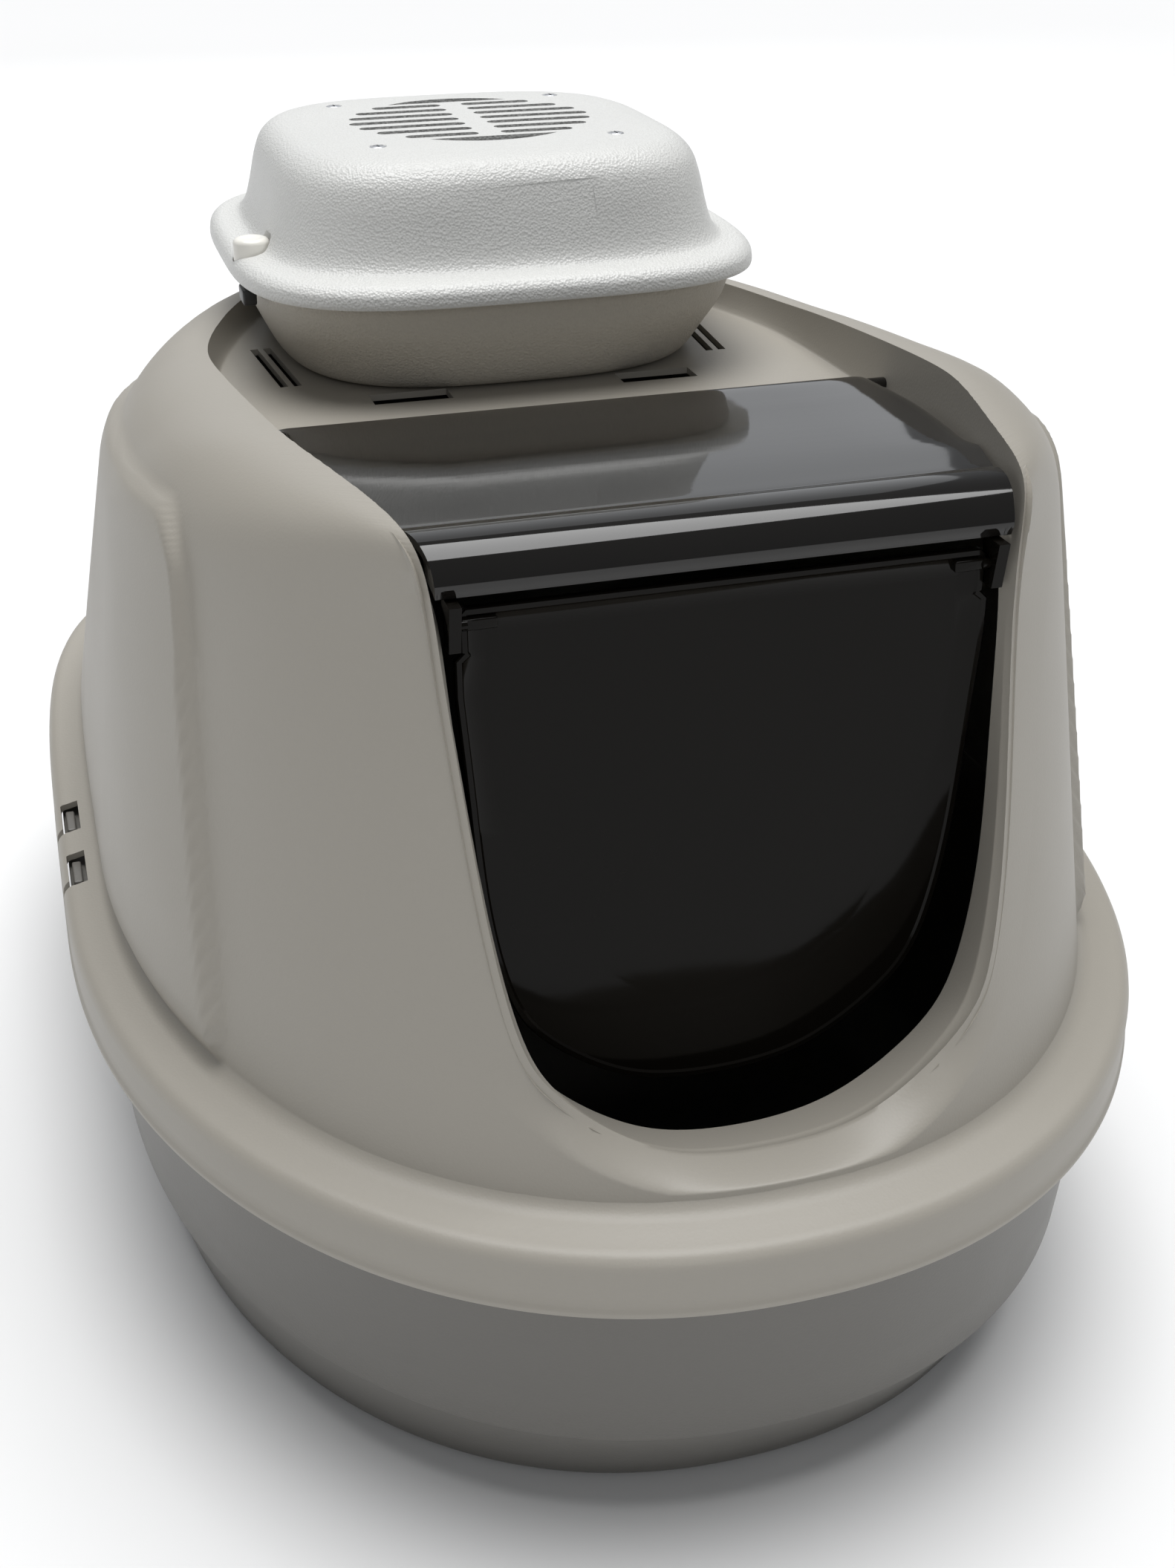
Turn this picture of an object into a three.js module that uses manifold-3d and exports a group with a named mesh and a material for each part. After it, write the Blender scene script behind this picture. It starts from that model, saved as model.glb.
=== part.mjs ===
// A hooded cat litter box: a litter pan, a lift-off hood with a smoked visor and a
// swinging door, and an odour fan unit with its mains adapter standing on the hood's deck.
// Millimetres, +Z up. The origin is on the floor under the middle of the box,
// -Y is the front (the doorway) and +Y the back. The box is a mirror image about x = 0.
import * as THREE from 'three';
import { mergeVertices } from 'three/addons/utils/BufferGeometryUtils.js';
import Module from 'manifold-3d';

const wasm = await Module();
wasm.setup();

// ---------------------------------------------------------------- driving dimensions
// whole box, seen from above: an egg with its widest line a little forward of the middle
const WIDTH = 454;
const LENGTH = 671;
const WIDEST_Y = -42.5;
const PLAN_POWER_FRONT = 2.15;
const PLAN_POWER_BACK = 4.2;
const GAP = 0.4; // between pieces that touch
// litter pan
const PAN_WALL = 3;
const PAN_FLOOR = 3;
const PAN_STEP_Z = 46;
const PAN_STEP = 4;
const PAN_BASE_SIDE_INSET = 29;
const PAN_BASE_END_INSET = 42;
const PAN_WALL_INSET_TOP = 10;
const PAN_WALL_INSET_STEP = 17;
const PAN_RIM = 3;
// hood
const SKIRT_BOTTOM_Z = 123;
const SKIRT_HEIGHT = 20;
const FLANGE_WIDTH = 18;
const HOOD_WALL = 2.8;
const WALL_DRAFT_SIDE = 0.126;
const WALL_DRAFT_FRONT = 0.22;
const WALL_DRAFT_BACK = 0.443;
const SIDE_PANEL_PROUD = 5;
const SIDE_PANEL_FRONT_Y = -156; // at half the wall's height
const SIDE_PANEL_RAKE = 0.28; // how far its front edge leans back for each millimetre up
const DECK_Z = 340;
const DECK_FRONT_Y = -78;
const RIM_BACK_Y = 213;
const RIM_WALL = 7;
// latch windows in the flange, with a lug of the pan's rim in each
const WINDOW_Y = [25, -22.5];
const WINDOW_LENGTH = 27;
const WINDOW_WIDTH = 8;
const WINDOW_INSET = 7.8; // from the flange's edge to the window's middle
const WINDOW_SLOT = 5; // width of the slot that runs down the skirt from each window
const LUG_CLEARANCE = 2;
const LUG_HEIGHT = 6;
// doorway
const DOORWAY_HALF_WIDTH = 98;
const SILL_Z = 146;
const RIM_SHARE = 68 / 49; // width of the deck's rim against the doorway's
const RIM_HALF_WIDTH = DOORWAY_HALF_WIDTH * RIM_SHARE;
// visor
const VISOR_SHARE = 0.934; // width of the visor against the rim's
const VISOR_HALF_WIDTH_BACK = RIM_HALF_WIDTH * VISOR_SHARE;
const VISOR_WALL = 3;
const VISOR_PIN_R = 3;
const VISOR_PIN_CLEARANCE = 0.4;
const VISOR_EDGE_GAP = 1.5;
// swing door
const DOOR_THICKNESS = 3;
const DOOR_GAP = 4;
const DOOR_PIN_R = 1.8;
const DOOR_PIN_CLEARANCE = 0.4;
const BRACKET_THICKNESS = 4;
const BRACKET_GAP = 1;
// odour fan unit
const FAN_SIZE = 120;
const FAN_DEPTH = 25;
const FAN_PITCH = 105;
const FAN_BORE_R = 57;
const UNIT_X = -4;
const UNIT_HALF = 116.5;
const UNIT_WALL = 2.5;
const TUB_HEIGHT = 41.5;
const TUB_BOTTOM_HALF = RIM_HALF_WIDTH - 43; // the tub stands inside the deck's rim
const DOME_HEIGHT = 55;
const TUB_BACK_GAP = 15;
const SCREW_R = 2;
const SCREW_HEAD_R = 3.9;
const BUTTON_R = 8;
const BUTTON_TRAVEL = 2;
const BUTTON_PROUD = 7.5; // height of the button over the flange
// deck vents and filter
const FILTER_WIDTH = 150;
const FILTER_LENGTH = 110;
const FILTER_THICKNESS = 8;
// cord and adapter
const CORD_D = 3;
const HANK_LENGTH = 66;
const HANK_WIDTH = 34;
const HANK_LAYERS = 4;
const ADAPTER_LENGTH = 78;
const ADAPTER_WIDTH = 46;
const ADAPTER_HEIGHT = 30;

// ---------------------------------------------------------------- derived places
const HALF_WIDTH = WIDTH / 2;
const FRONT_Y = -LENGTH / 2;
const FRONT_DEPTH = WIDEST_Y + LENGTH / 2;
const BACK_DEPTH = LENGTH / 2 - WIDEST_Y;
const SKIRT_TOP_Z = SKIRT_BOTTOM_Z + SKIRT_HEIGHT;
const WALL_FOOT_Z = SKIRT_TOP_Z + 11;
const PAN_RIM_Z = SKIRT_TOP_Z - HOOD_WALL + 1;
const UNIT_Y = RIM_BACK_Y - RIM_WALL - TUB_BACK_GAP - TUB_BOTTOM_HALF;
const UNIT_FLOOR_Z = DECK_Z + GAP;
const UNIT_SEAM_Z = DECK_Z + TUB_HEIGHT;
const UNIT_TOP_Z = UNIT_SEAM_Z + DOME_HEIGHT;
const VISOR_AXIS_Y = DECK_FRONT_Y + 12;
const VISOR_AXIS_Z = DECK_Z + 9.5;
const DOOR_AXIS_Z = DECK_Z + 1;
const SEGMENTS = 64;

// ---------------------------------------------------------------- helpers
const lerp = (a, b, t) => a + (b - a) * t;
const smooth = (t) => {
  const u = Math.min(1, Math.max(0, t));
  return u * u * (3 - 2 * u);
};
const degrees = (angle) => (angle * Math.PI) / 180;
const vec = (x, y, z) => new THREE.Vector3(x, y, z);

function material(color, roughness, metalness = 0, opacity = 1) {
  return new THREE.MeshStandardMaterial({ color, roughness, metalness, opacity, transparent: opacity < 1 });
}

const HOOD_PLASTIC = material(0xc9c2b8, 0.55);
const PAN_PLASTIC = material(0x77746f, 0.55);
const SMOKED_PLASTIC = material(0x15130f, 0.12, 0, 0.9);
const BLACK_PLASTIC = material(0x141414, 0.4);
const UNIT_LIGHT = material(0xcdccc8, 0.5);
const UNIT_TAUPE = material(0x98918a, 0.55);
const BUTTON_WHITE = material(0xefece4, 0.35);
const STEEL = material(0xb9bbbe, 0.3, 1);
const FILTER_BLACK = material(0x1c1c1b, 0.95);
const CORD_BLACK = material(0x101010, 0.5);

function solid(geometry) {
  const bare = geometry.index ? geometry.toNonIndexed() : geometry.clone();
  bare.deleteAttribute('normal');
  bare.deleteAttribute('uv');
  const merged = mergeVertices(bare, 1e-4);
  const mesh = new wasm.Mesh({
    numProp: 3,
    vertProperties: Float32Array.from(merged.attributes.position.array),
    triVerts: Uint32Array.from(merged.index.array),
  });
  return new wasm.Manifold(mesh);
}

function geometryOf(manifold) {
  const mesh = manifold.getMesh();
  const geometry = new THREE.BufferGeometry();
  geometry.setAttribute('position', new THREE.BufferAttribute(Float32Array.from(mesh.vertProperties), 3));
  geometry.setIndex(new THREE.BufferAttribute(Uint32Array.from(mesh.triVerts), 1));
  geometry.computeVertexNormals();
  return geometry;
}

const root = new THREE.Group();

function add(name, shape, finish, parent = root) {
  const geometry = shape.isBufferGeometry ? shape : geometryOf(shape);
  const mesh = new THREE.Mesh(geometry, finish);
  mesh.name = name;
  parent.add(mesh);
  return mesh;
}

const moved = (geometry, x, y, z) => geometry.translate(x, y, z);
const box = (sx, sy, sz, x, y, z) => solid(moved(new THREE.BoxGeometry(sx, sy, sz), x, y, z));

function cylinderZ(radius, low, high, x, y, sides = 24, topRadius = radius) {
  const geometry = new THREE.CylinderGeometry(topRadius, radius, high - low, sides);
  geometry.rotateX(Math.PI / 2);
  return solid(moved(geometry, x, y, (low + high) / 2));
}

function cylinderX(radius, low, high, y, z, sides = 16) {
  const geometry = new THREE.CylinderGeometry(radius, radius, high - low, sides);
  geometry.rotateZ(Math.PI / 2);
  return solid(moved(geometry, (low + high) / 2, y, z));
}

// an outline in x and y, raised from low to high
function prism(points, low, high) {
  const shape = new THREE.Shape(points.map(([x, y]) => new THREE.Vector2(x, y)));
  const geometry = new THREE.ExtrudeGeometry(shape, { depth: high - low, bevelEnabled: false });
  return solid(geometry.translate(0, 0, low));
}

function triangle(list, a, b, c) {
  list.push(a, b, c);
}

function indexedGeometry(points, index) {
  const geometry = new THREE.BufferGeometry();
  const flat = new Float32Array(points.length * 3);
  points.forEach((p, i) => p.toArray(flat, i * 3));
  geometry.setAttribute('position', new THREE.BufferAttribute(flat, 3));
  geometry.setIndex(index);
  return geometry;
}

// joins rings of equal count, each running anticlockwise seen from above;
// a ring stack that comes back to its first ring is closed, others get flat ends
function loft(rings, closed = false) {
  const count = rings[0].length;
  const points = rings.flat();
  const index = [];
  const last = closed ? rings.length : rings.length - 1;
  for (let r = 0; r < last; r += 1) {
    const low = r * count;
    const high = ((r + 1) % rings.length) * count;
    for (let i = 0; i < count; i += 1) {
      const next = (i + 1) % count;
      triangle(index, low + i, low + next, high + next);
      triangle(index, low + i, high + next, high + i);
    }
  }
  if (!closed) {
    for (const [ring, flip] of [[rings[0], true], [rings.at(-1), false]]) {
      const centre = ring.reduce((sum, p) => sum.add(p), vec(0, 0, 0)).divideScalar(count);
      const base = flip ? 0 : (rings.length - 1) * count;
      points.push(centre);
      for (let i = 0; i < count; i += 1) {
        const next = (i + 1) % count;
        if (flip) triangle(index, points.length - 1, base + next, base + i);
        else triangle(index, points.length - 1, base + i, base + next);
      }
    }
  }
  return indexedGeometry(points, index);
}

// smooth curve through evenly spaced values; ends are mirrored, odd ones change sign
function throughValues(values, t, odd = false, centre = [0, 0]) {
  const last = values.length - 1;
  const at = (i) => {
    if (i < 0) return odd ? 2 * centre[0] - values[-i] : values[-i];
    if (i > last) return odd ? 2 * centre[1] - values[2 * last - i] : values[2 * last - i];
    return values[i];
  };
  const place = Math.min(t * last, last - 1e-9);
  const i = Math.floor(place);
  const u = place - i;
  const [a, b, c, d] = [at(i - 1), at(i), at(i + 1), at(i + 2)];
  return b + 0.5 * u * (c - a + u * (2 * a - 5 * b + 4 * c - d + u * (3 * (b - c) + d - a)));
}

// ---------------------------------------------------------------- the egg-shaped plan
// theta runs from -90 degrees at the front, round the +X side, to +90 degrees at the back
function planPoint(theta, halfWidth, front, back, powerFront, powerBack, z) {
  const s = Math.sin(theta);
  const c = Math.max(0, Math.cos(theta));
  const power = s < 0 ? powerFront : powerBack;
  const depth = s < 0 ? -front : back;
  return vec(halfWidth * c ** (2 / power), WIDEST_Y + depth * Math.abs(s) ** (2 / power), z);
}

// stations along the right half of the hood, from the front centre to the back centre:
// plan angle at the foot of the wall, then plan angle and height where the shoulder starts,
// as a share of the way from the foot of the wall to the deck
const FOOT_ANGLE = [-90, -78.7, -67.2, -57.5, -50.4, -44.4, -40, -36.2, -32.5, -28.4, -24.4, -18.6, -11.8,
  -6, 0, 2.7, 8.4, 17.8, 33.3, 47.6, 74.3, 90];
const SHOULDER_ANGLE = [-90, -80.1, -72.1, -65.8, -61.5, -57.2, -53.3, -49.4, -45.3, -40.1, -34.5, -26, -16.3,
  -8, 0, 9.6, 17.8, 27.4, 43.6, 59.5, 73.8, 90];
const SHOULDER_RISE = [-0.005, 0.011, 0.065, 0.15, 0.247, 0.452, 0.677, 0.849, 0.935, 0.968, 0.978, 0.973,
  0.946, 0.925, 0.903, 0.892, 0.882, 0.876, 0.871, 0.866, 0.863, 0.863];

// the crest: the raised rim round the deck, running on as the bead round the doorway.
// x is a share of the doorway's or the rim's half width; y is measured back from the front
// of the box for the doorway, and is a share from the visor to the rim's back for the deck
const doorwayPoint = (share, back, rise) => vec(DOORWAY_HALF_WIDTH * share, FRONT_Y + back, SILL_Z + rise);
const visorPoint = (share, along, z) =>
  vec(RIM_HALF_WIDTH * share, lerp(FRONT_Y, DECK_FRONT_Y, along), DECK_Z + z);
const rimPoint = (share, along, z) =>
  vec(RIM_HALF_WIDTH * share, lerp(DECK_FRONT_Y, RIM_BACK_Y, along), DECK_Z + z);
const JAMB = (DECK_Z - SILL_Z) / 194; // stretches the doorway's 194 mm of stations to its height
const CREST = [
  doorwayPoint(0, 37.5, 10), doorwayPoint(0.316, 38, 13), doorwayPoint(0.56, 42, 25),
  doorwayPoint(0.755, 47.5, 43.5 * JAMB), doorwayPoint(0.867, 53.5, 60 * JAMB),
  doorwayPoint(0.939, 65.5, 99 * JAMB), doorwayPoint(0.98, 79.5, 143 * JAMB),
  doorwayPoint(1.01, 90.5, 179 * JAMB), doorwayPoint(1.03, 94.5, 204 * JAMB),
  visorPoint(0.761, 0.386, 25), visorPoint(0.787, 0.441, 31.5), visorPoint(0.838, 0.565, 33),
  visorPoint(0.919, 0.74, 33), visorPoint(0.956, 0.876, 31), rimPoint(0.985, 0.124, 24),
  rimPoint(1, 0.337, 17), rimPoint(0.985, 0.467, 13), rimPoint(0.926, 0.591, 12),
  rimPoint(0.779, 0.777, 11), rimPoint(0.574, 0.904, 10), rimPoint(0.294, 0.979, 10), rimPoint(0, 1, 10),
];
// the foot of the inner wall: beside the bead, under the visor's edge, then on the deck
const INNER_FOOT = [
  doorwayPoint(0, 43.5, 7), doorwayPoint(0.306, 44, 9.5), doorwayPoint(0.541, 47.5, 20),
  doorwayPoint(0.73, 53, 39 * JAMB), doorwayPoint(0.842, 58.5, 57 * JAMB),
  doorwayPoint(0.923, 69.5, 97 * JAMB), doorwayPoint(0.967, 82.5, 141 * JAMB),
  doorwayPoint(1, 93.5, 178 * JAMB), doorwayPoint(1.02, 98.5, 201 * JAMB),
  visorPoint(0.754, 0.413, 7), visorPoint(0.776, 0.46, 8), visorPoint(0.827, 0.581, 9),
  visorPoint(0.901, 0.74, 7.5), visorPoint(0.934, 0.876, 5.5), rimPoint(0.963, 0.113, 3),
  rimPoint(0.978, 0.33, 0.5), rimPoint(0.956, 0.457, 0), rimPoint(0.89, 0.577, 0),
  rimPoint(0.743, 0.759, 0), rimPoint(0.544, 0.883, 0), rimPoint(0.272, 0.955, 0), rimPoint(0, 0.976, 0),
];
// the edge of the hole: the doorway's inner edge, the ledge under the visor, the deck's front
const HOLE = [
  doorwayPoint(0, 63.5, 0), doorwayPoint(0.27, 64, 2.5), doorwayPoint(0.48, 65.5, 11),
  doorwayPoint(0.694, 68.5, 27 * JAMB), doorwayPoint(0.837, 73.5, 47 * JAMB),
  doorwayPoint(0.93, 80.5, 89 * JAMB), doorwayPoint(0.96, 88.5, 134 * JAMB),
  doorwayPoint(0.985, 95.5, 172 * JAMB), doorwayPoint(0.995, 101, 192 * JAMB),
  visorPoint(0.717, 0.425, 3), visorPoint(0.721, 0.472, 7), visorPoint(0.765, 0.588, 8),
  visorPoint(0.838, 0.74, 6.5), visorPoint(0.868, 0.876, 4.5), rimPoint(0.868, 0, 0.5),
  rimPoint(0.7, 0, 0), rimPoint(0.55, 0, 0), rimPoint(0.4, 0, 0),
  rimPoint(0.28, 0, 0), rimPoint(0.18, 0, 0), rimPoint(0.09, 0, 0), rimPoint(0, 0, 0),
];

const pointAt = (table, t) => vec(
  throughValues(table.map((p) => p.x), t, true),
  throughValues(table.map((p) => p.y), t),
  throughValues(table.map((p) => p.z), t),
);
const angleAt = (table, t) => degrees(throughValues(table, t, true, [-90, 90]));

// the drafted outer wall above the flange; a panel on each side stands proud of it
function wallPoint(theta, z, proud = true) {
  const rise = z - WALL_FOOT_Z;
  const backPower = lerp(PLAN_POWER_BACK, PLAN_POWER_FRONT, Math.min(1, Math.max(0, rise / (DECK_Z - WALL_FOOT_Z))));
  const inset = FLANGE_WIDTH + 4;
  const place = planPoint(
    theta,
    HALF_WIDTH - inset - WALL_DRAFT_SIDE * rise,
    FRONT_DEPTH - inset - WALL_DRAFT_FRONT * rise,
    BACK_DEPTH - inset - WALL_DRAFT_BACK * rise,
    PLAN_POWER_FRONT,
    backPower,
    z,
  );
  if (proud) {
    const middle = (WALL_FOOT_Z + DECK_Z) / 2;
    const forward = smooth((place.y - SIDE_PANEL_FRONT_Y - SIDE_PANEL_RAKE * (z - middle)) / 8);
    const under = smooth((DECK_Z + 2 - z) / 8) * smooth((z - WALL_FOOT_Z) / 10);
    const sideways = vec(place.x, (place.y - WIDEST_Y) * 0.5, 0).normalize();
    place.addScaledVector(sideways, SIDE_PANEL_PROUD * forward * under);
  }
  return place;
}

// a full ring from a function of the way along the right half
function ringOf(pointFor, segments = SEGMENTS) {
  const half = segments / 2;
  const right = [];
  for (let i = 0; i <= half; i += 1) right.push(pointFor(i / half));
  right[0].x = 0;
  right[half].x = 0;
  const left = right.slice(1, half).reverse().map((p) => vec(-p.x, p.y, p.z));
  return [...right, ...left];
}

const flangeRing = (inset, z) => ringOf((t) => planPoint(
  angleAt(FOOT_ANGLE, t), HALF_WIDTH - inset, FRONT_DEPTH - inset, BACK_DEPTH - inset,
  PLAN_POWER_FRONT, PLAN_POWER_BACK, z));

function shoulderPoint(t, share) {
  const theta = angleAt(SHOULDER_ANGLE, t);
  const z = lerp(WALL_FOOT_Z, DECK_Z, throughValues(SHOULDER_RISE, t));
  const start = wallPoint(theta, z);
  const up = wallPoint(theta, z + 1, false).sub(wallPoint(theta, z, false));
  const crest = pointAt(CREST, t);
  const first = start.clone().addScaledVector(up, 0.6 * Math.max(0, crest.z - z));
  const second = vec(lerp(crest.x, start.x, 0.45), lerp(crest.y, start.y, 0.45), crest.z);
  return new THREE.CubicBezierCurve3(start, first, second, crest).getPoint(share);
}

function hoodRings() {
  const rings = [
    flangeRing(0, SKIRT_BOTTOM_Z),
    flangeRing(0.8, SKIRT_TOP_Z),
    flangeRing(3.5, SKIRT_TOP_Z + 4.5),
    flangeRing(FLANGE_WIDTH, SKIRT_TOP_Z + 7.5),
  ];
  for (const share of [0, 0.35, 0.7, 1]) {
    rings.push(ringOf((t) => {
      const theta = lerp(angleAt(FOOT_ANGLE, t), angleAt(SHOULDER_ANGLE, t), share);
      const z = lerp(WALL_FOOT_Z, lerp(WALL_FOOT_Z, DECK_Z, throughValues(SHOULDER_RISE, t)), share);
      return wallPoint(theta, z);
    }));
  }
  for (const share of [0.35, 0.7, 1]) rings.push(ringOf((t) => shoulderPoint(t, share)));
  rings.push(ringOf((t) => pointAt(INNER_FOOT, t)));
  for (const share of [0.5, 1]) {
    rings.push(ringOf((t) => pointAt(INNER_FOOT, t).lerp(pointAt(HOLE, t), share)));
  }
  return rings;
}

// the same rings moved inwards by the wall's thickness
function innerRings(rings, thickness) {
  const skin = loft(rings);
  skin.computeVertexNormals();
  const normals = skin.attributes.normal;
  const count = rings[0].length;
  return rings.map((ring, r) => ring.map((p, i) => {
    const n = vec(0, 0, 0).fromBufferAttribute(normals, r * count + i);
    if (r === 0) n.set(n.x, n.y, 0).normalize();
    return p.clone().addScaledVector(n, -thickness);
  }));
}

// ---------------------------------------------------------------- litter pan
function pan() {
  const rimInset = HOOD_WALL + 1.6;
  const ring = (side, end, z) => ringOf((t) => planPoint(
    angleAt(FOOT_ANGLE, t), HALF_WIDTH - side, FRONT_DEPTH - end, BACK_DEPTH - end,
    PLAN_POWER_FRONT, PLAN_POWER_BACK, z));
  const outer = [
    ring(PAN_BASE_SIDE_INSET + 5, PAN_BASE_END_INSET + 5, 0),
    ring(PAN_BASE_SIDE_INSET, PAN_BASE_END_INSET, 5),
    ring(PAN_WALL_INSET_STEP + PAN_STEP, PAN_WALL_INSET_STEP + PAN_STEP, PAN_STEP_Z),
    ring(PAN_WALL_INSET_STEP, PAN_WALL_INSET_STEP, PAN_STEP_Z + 2),
    ring(PAN_WALL_INSET_TOP, PAN_WALL_INSET_TOP, PAN_RIM_Z - PAN_RIM),
    ring(rimInset, rimInset, PAN_RIM_Z - PAN_RIM),
    ring(rimInset, rimInset, PAN_RIM_Z),
  ];
  const inner = [
    ring(PAN_WALL_INSET_TOP + PAN_WALL, PAN_WALL_INSET_TOP + PAN_WALL, PAN_RIM_Z),
    ring(PAN_WALL_INSET_STEP + PAN_STEP + PAN_WALL, PAN_WALL_INSET_STEP + PAN_STEP + PAN_WALL, PAN_STEP_Z),
    ring(PAN_BASE_SIDE_INSET + PAN_WALL, PAN_BASE_END_INSET + PAN_WALL, PAN_FLOOR + 4),
    ring(PAN_BASE_SIDE_INSET + PAN_WALL + 5, PAN_BASE_END_INSET + PAN_WALL + 5, PAN_FLOOR),
  ];
  let shape = solid(loft([...outer, ...inner]));
  for (const side of [-1, 1]) {
    for (const y of WINDOW_Y) {
      const x = side * (HALF_WIDTH - WINDOW_INSET);
      const wide = WINDOW_WIDTH - 2 * LUG_CLEARANCE;
      const long = WINDOW_LENGTH - 2 * LUG_CLEARANCE - WINDOW_SLOT;
      shape = shape.add(box(wide, long, LUG_HEIGHT, x, y + WINDOW_SLOT / 2, PAN_RIM_Z + 1));
    }
  }
  return shape;
}

// ---------------------------------------------------------------- hood
const VENT_ANGLE = degrees(3);
const VENT_SIZE = [4, 42];
const VENT_PITCH = 9;
const NOTCH_SIZE = [34, 14];
const FILTER_SLOT = [7, FILTER_LENGTH - 30];
const FILTER_SLOT_PITCH = 16;
const CUT_DEPTH = 20; // tall enough to pass right through a wall
function hood() {
  const rings = hoodRings();
  const inner = innerRings(rings, HOOD_WALL);
  let shape = solid(loft([...rings, ...inner.reverse()], true));
  const cut = (tool) => {
    shape = shape.subtract(tool);
  };
  for (const side of [-1, 1]) {
    for (const y of WINDOW_Y) {
      const x = side * (HALF_WIDTH - WINDOW_INSET);
      cut(box(WINDOW_WIDTH, WINDOW_LENGTH, CUT_DEPTH, x, y, SKIRT_TOP_Z + 5));
      const slotY = y - WINDOW_LENGTH / 2 + WINDOW_SLOT / 2;
      cut(box(WINDOW_WIDTH, WINDOW_SLOT, SKIRT_HEIGHT * 0.75, side * (HALF_WIDTH - 2), slotY, SKIRT_TOP_Z));
    }
    cut(cylinderX(VISOR_PIN_R + VISOR_PIN_CLEARANCE, ...(side < 0
      ? [-VISOR_HALF_WIDTH_BACK - 12, -VISOR_HALF_WIDTH_BACK]
      : [VISOR_HALF_WIDTH_BACK, VISOR_HALF_WIDTH_BACK + 12]), VISOR_AXIS_Y, VISOR_AXIS_Z));
    // pairs of long vent slots beside the fan unit
    for (const offset of [0, VENT_PITCH]) {
      const slot = new THREE.BoxGeometry(...VENT_SIZE, CUT_DEPTH).rotateZ(side * VENT_ANGLE);
      cut(solid(moved(slot, side * (TUB_BOTTOM_HALF + 14 - offset), UNIT_Y - VENT_SIZE[1], DECK_Z)));
    }
    // finger notches in front of the filter
    cut(box(...NOTCH_SIZE, CUT_DEPTH, side * 55, UNIT_Y - TUB_BOTTOM_HALF - 1, DECK_Z));
  }
  // slots over the filter, under the fan unit
  for (let i = -3; i <= 3; i += 1) {
    cut(box(...FILTER_SLOT, CUT_DEPTH, UNIT_X + i * FILTER_SLOT_PITCH, UNIT_Y, DECK_Z));
  }
  return shape;
}

const FILTER_TOP_Z = DECK_Z - HOOD_WALL - GAP;
function filterHolder() {
  const wide = FILTER_WIDTH + 8;
  const long = FILTER_LENGTH + 8;
  const tall = FILTER_THICKNESS + 3;
  const mid = FILTER_TOP_Z - tall / 2;
  let shape = box(wide, long, tall, UNIT_X, UNIT_Y, mid);
  shape = shape.subtract(box(wide - 4, long - 4, tall, UNIT_X, UNIT_Y, mid + 2));
  for (let i = -2; i <= 2; i += 1) shape = shape.subtract(box(18, long - 24, 20, UNIT_X + i * 28, UNIT_Y, mid - 5));
  return shape;
}

// ---------------------------------------------------------------- visor
// side view of the visor's upper surface, from the hinge to the lip under the roll;
// y is a share of the way from the hinge to the front of the roll, z is above the deck
const VISOR_FRONT_Y = FRONT_Y + 97;
const VISOR_PROFILE = [
  [-0.023, 12], [0, 13.5], [0.15, 15.5], [0.31, 17.5], [0.6, 21.5], [0.79, 23.5], [0.83, 24], [0.87, 26.2],
  [0.92, 26.5], [0.96, 24.3], [0.985, 20.5], [1, 15], [0.995, 10.5],
];
const VISOR_HALF = [1, 1, 0.997, 0.985, 0.921, 0.851, 0.834, 0.82, 0.806, 0.795, 0.787, 0.783, 0.781];
const visorY = (share) => lerp(VISOR_AXIS_Y, VISOR_FRONT_Y, share);

// a thin curved sheet: rows of points, thickened downwards along the rows' side-view normals
function sheet(rows, thickness) {
  const normalOf = (r) => {
    const before = rows[Math.max(0, r - 1)][0];
    const after = rows[Math.min(rows.length - 1, r + 1)][0];
    return vec(0, after.z - before.z, before.y - after.y).normalize();
  };
  const rings = rows.map((row, r) => {
    const below = row.map((p) => p.clone().addScaledVector(normalOf(r), -thickness)).reverse();
    return [...row, ...below];
  });
  return solid(loft(rings));
}

function visor() {
  const across = [-1, -0.985, -0.93, -0.5, 0, 0.5, 0.93, 0.985, 1];
  const drop = [5.5, 2, 0, 0, 0, 0, 0, 2, 5.5];
  const rows = VISOR_PROFILE.map(([share, z], r) => {
    const half = VISOR_HALF_WIDTH_BACK * VISOR_HALF[r];
    const edge = r < 6 ? 1 : 0;
    return across.map((a, i) => vec(a * half, visorY(share), DECK_Z + z - edge * drop[i]));
  });
  let shape = sheet(rows.map((row) => row.reverse()), VISOR_WALL);
  // closed ends of the roll
  for (const side of [-1, 1]) {
    const roll = VISOR_PROFILE.slice(7).map(([share, z]) => [visorY(share), DECK_Z + z]);
    const end = [...roll, [visorY(0.87), DECK_Z + 13]];
    const outline = new THREE.Shape(end.map(([y, z]) => new THREE.Vector2(y, z)));
    const plate = new THREE.ExtrudeGeometry(outline, { depth: VISOR_WALL, bevelEnabled: false });
    plate.applyMatrix4(new THREE.Matrix4().set(0, 0, 1, 0, 1, 0, 0, 0, 0, 1, 0, 0, 0, 0, 0, 1));
    const inside = VISOR_HALF_WIDTH_BACK * VISOR_HALF.at(-1) - VISOR_WALL;
    shape = shape.add(solid(moved(plate, side > 0 ? inside : -inside - VISOR_WALL, 0, 0)));
    // hinge barrel and pin
    const reach = VISOR_HALF_WIDTH_BACK + VISOR_EDGE_GAP + 3;
    const inner = VISOR_HALF_WIDTH_BACK - 22;
    shape = shape.add(cylinderX(VISOR_PIN_R, ...(side < 0 ? [-reach, -inner] : [inner, reach]), VISOR_AXIS_Y, VISOR_AXIS_Z));
  }
  return shape;
}

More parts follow.
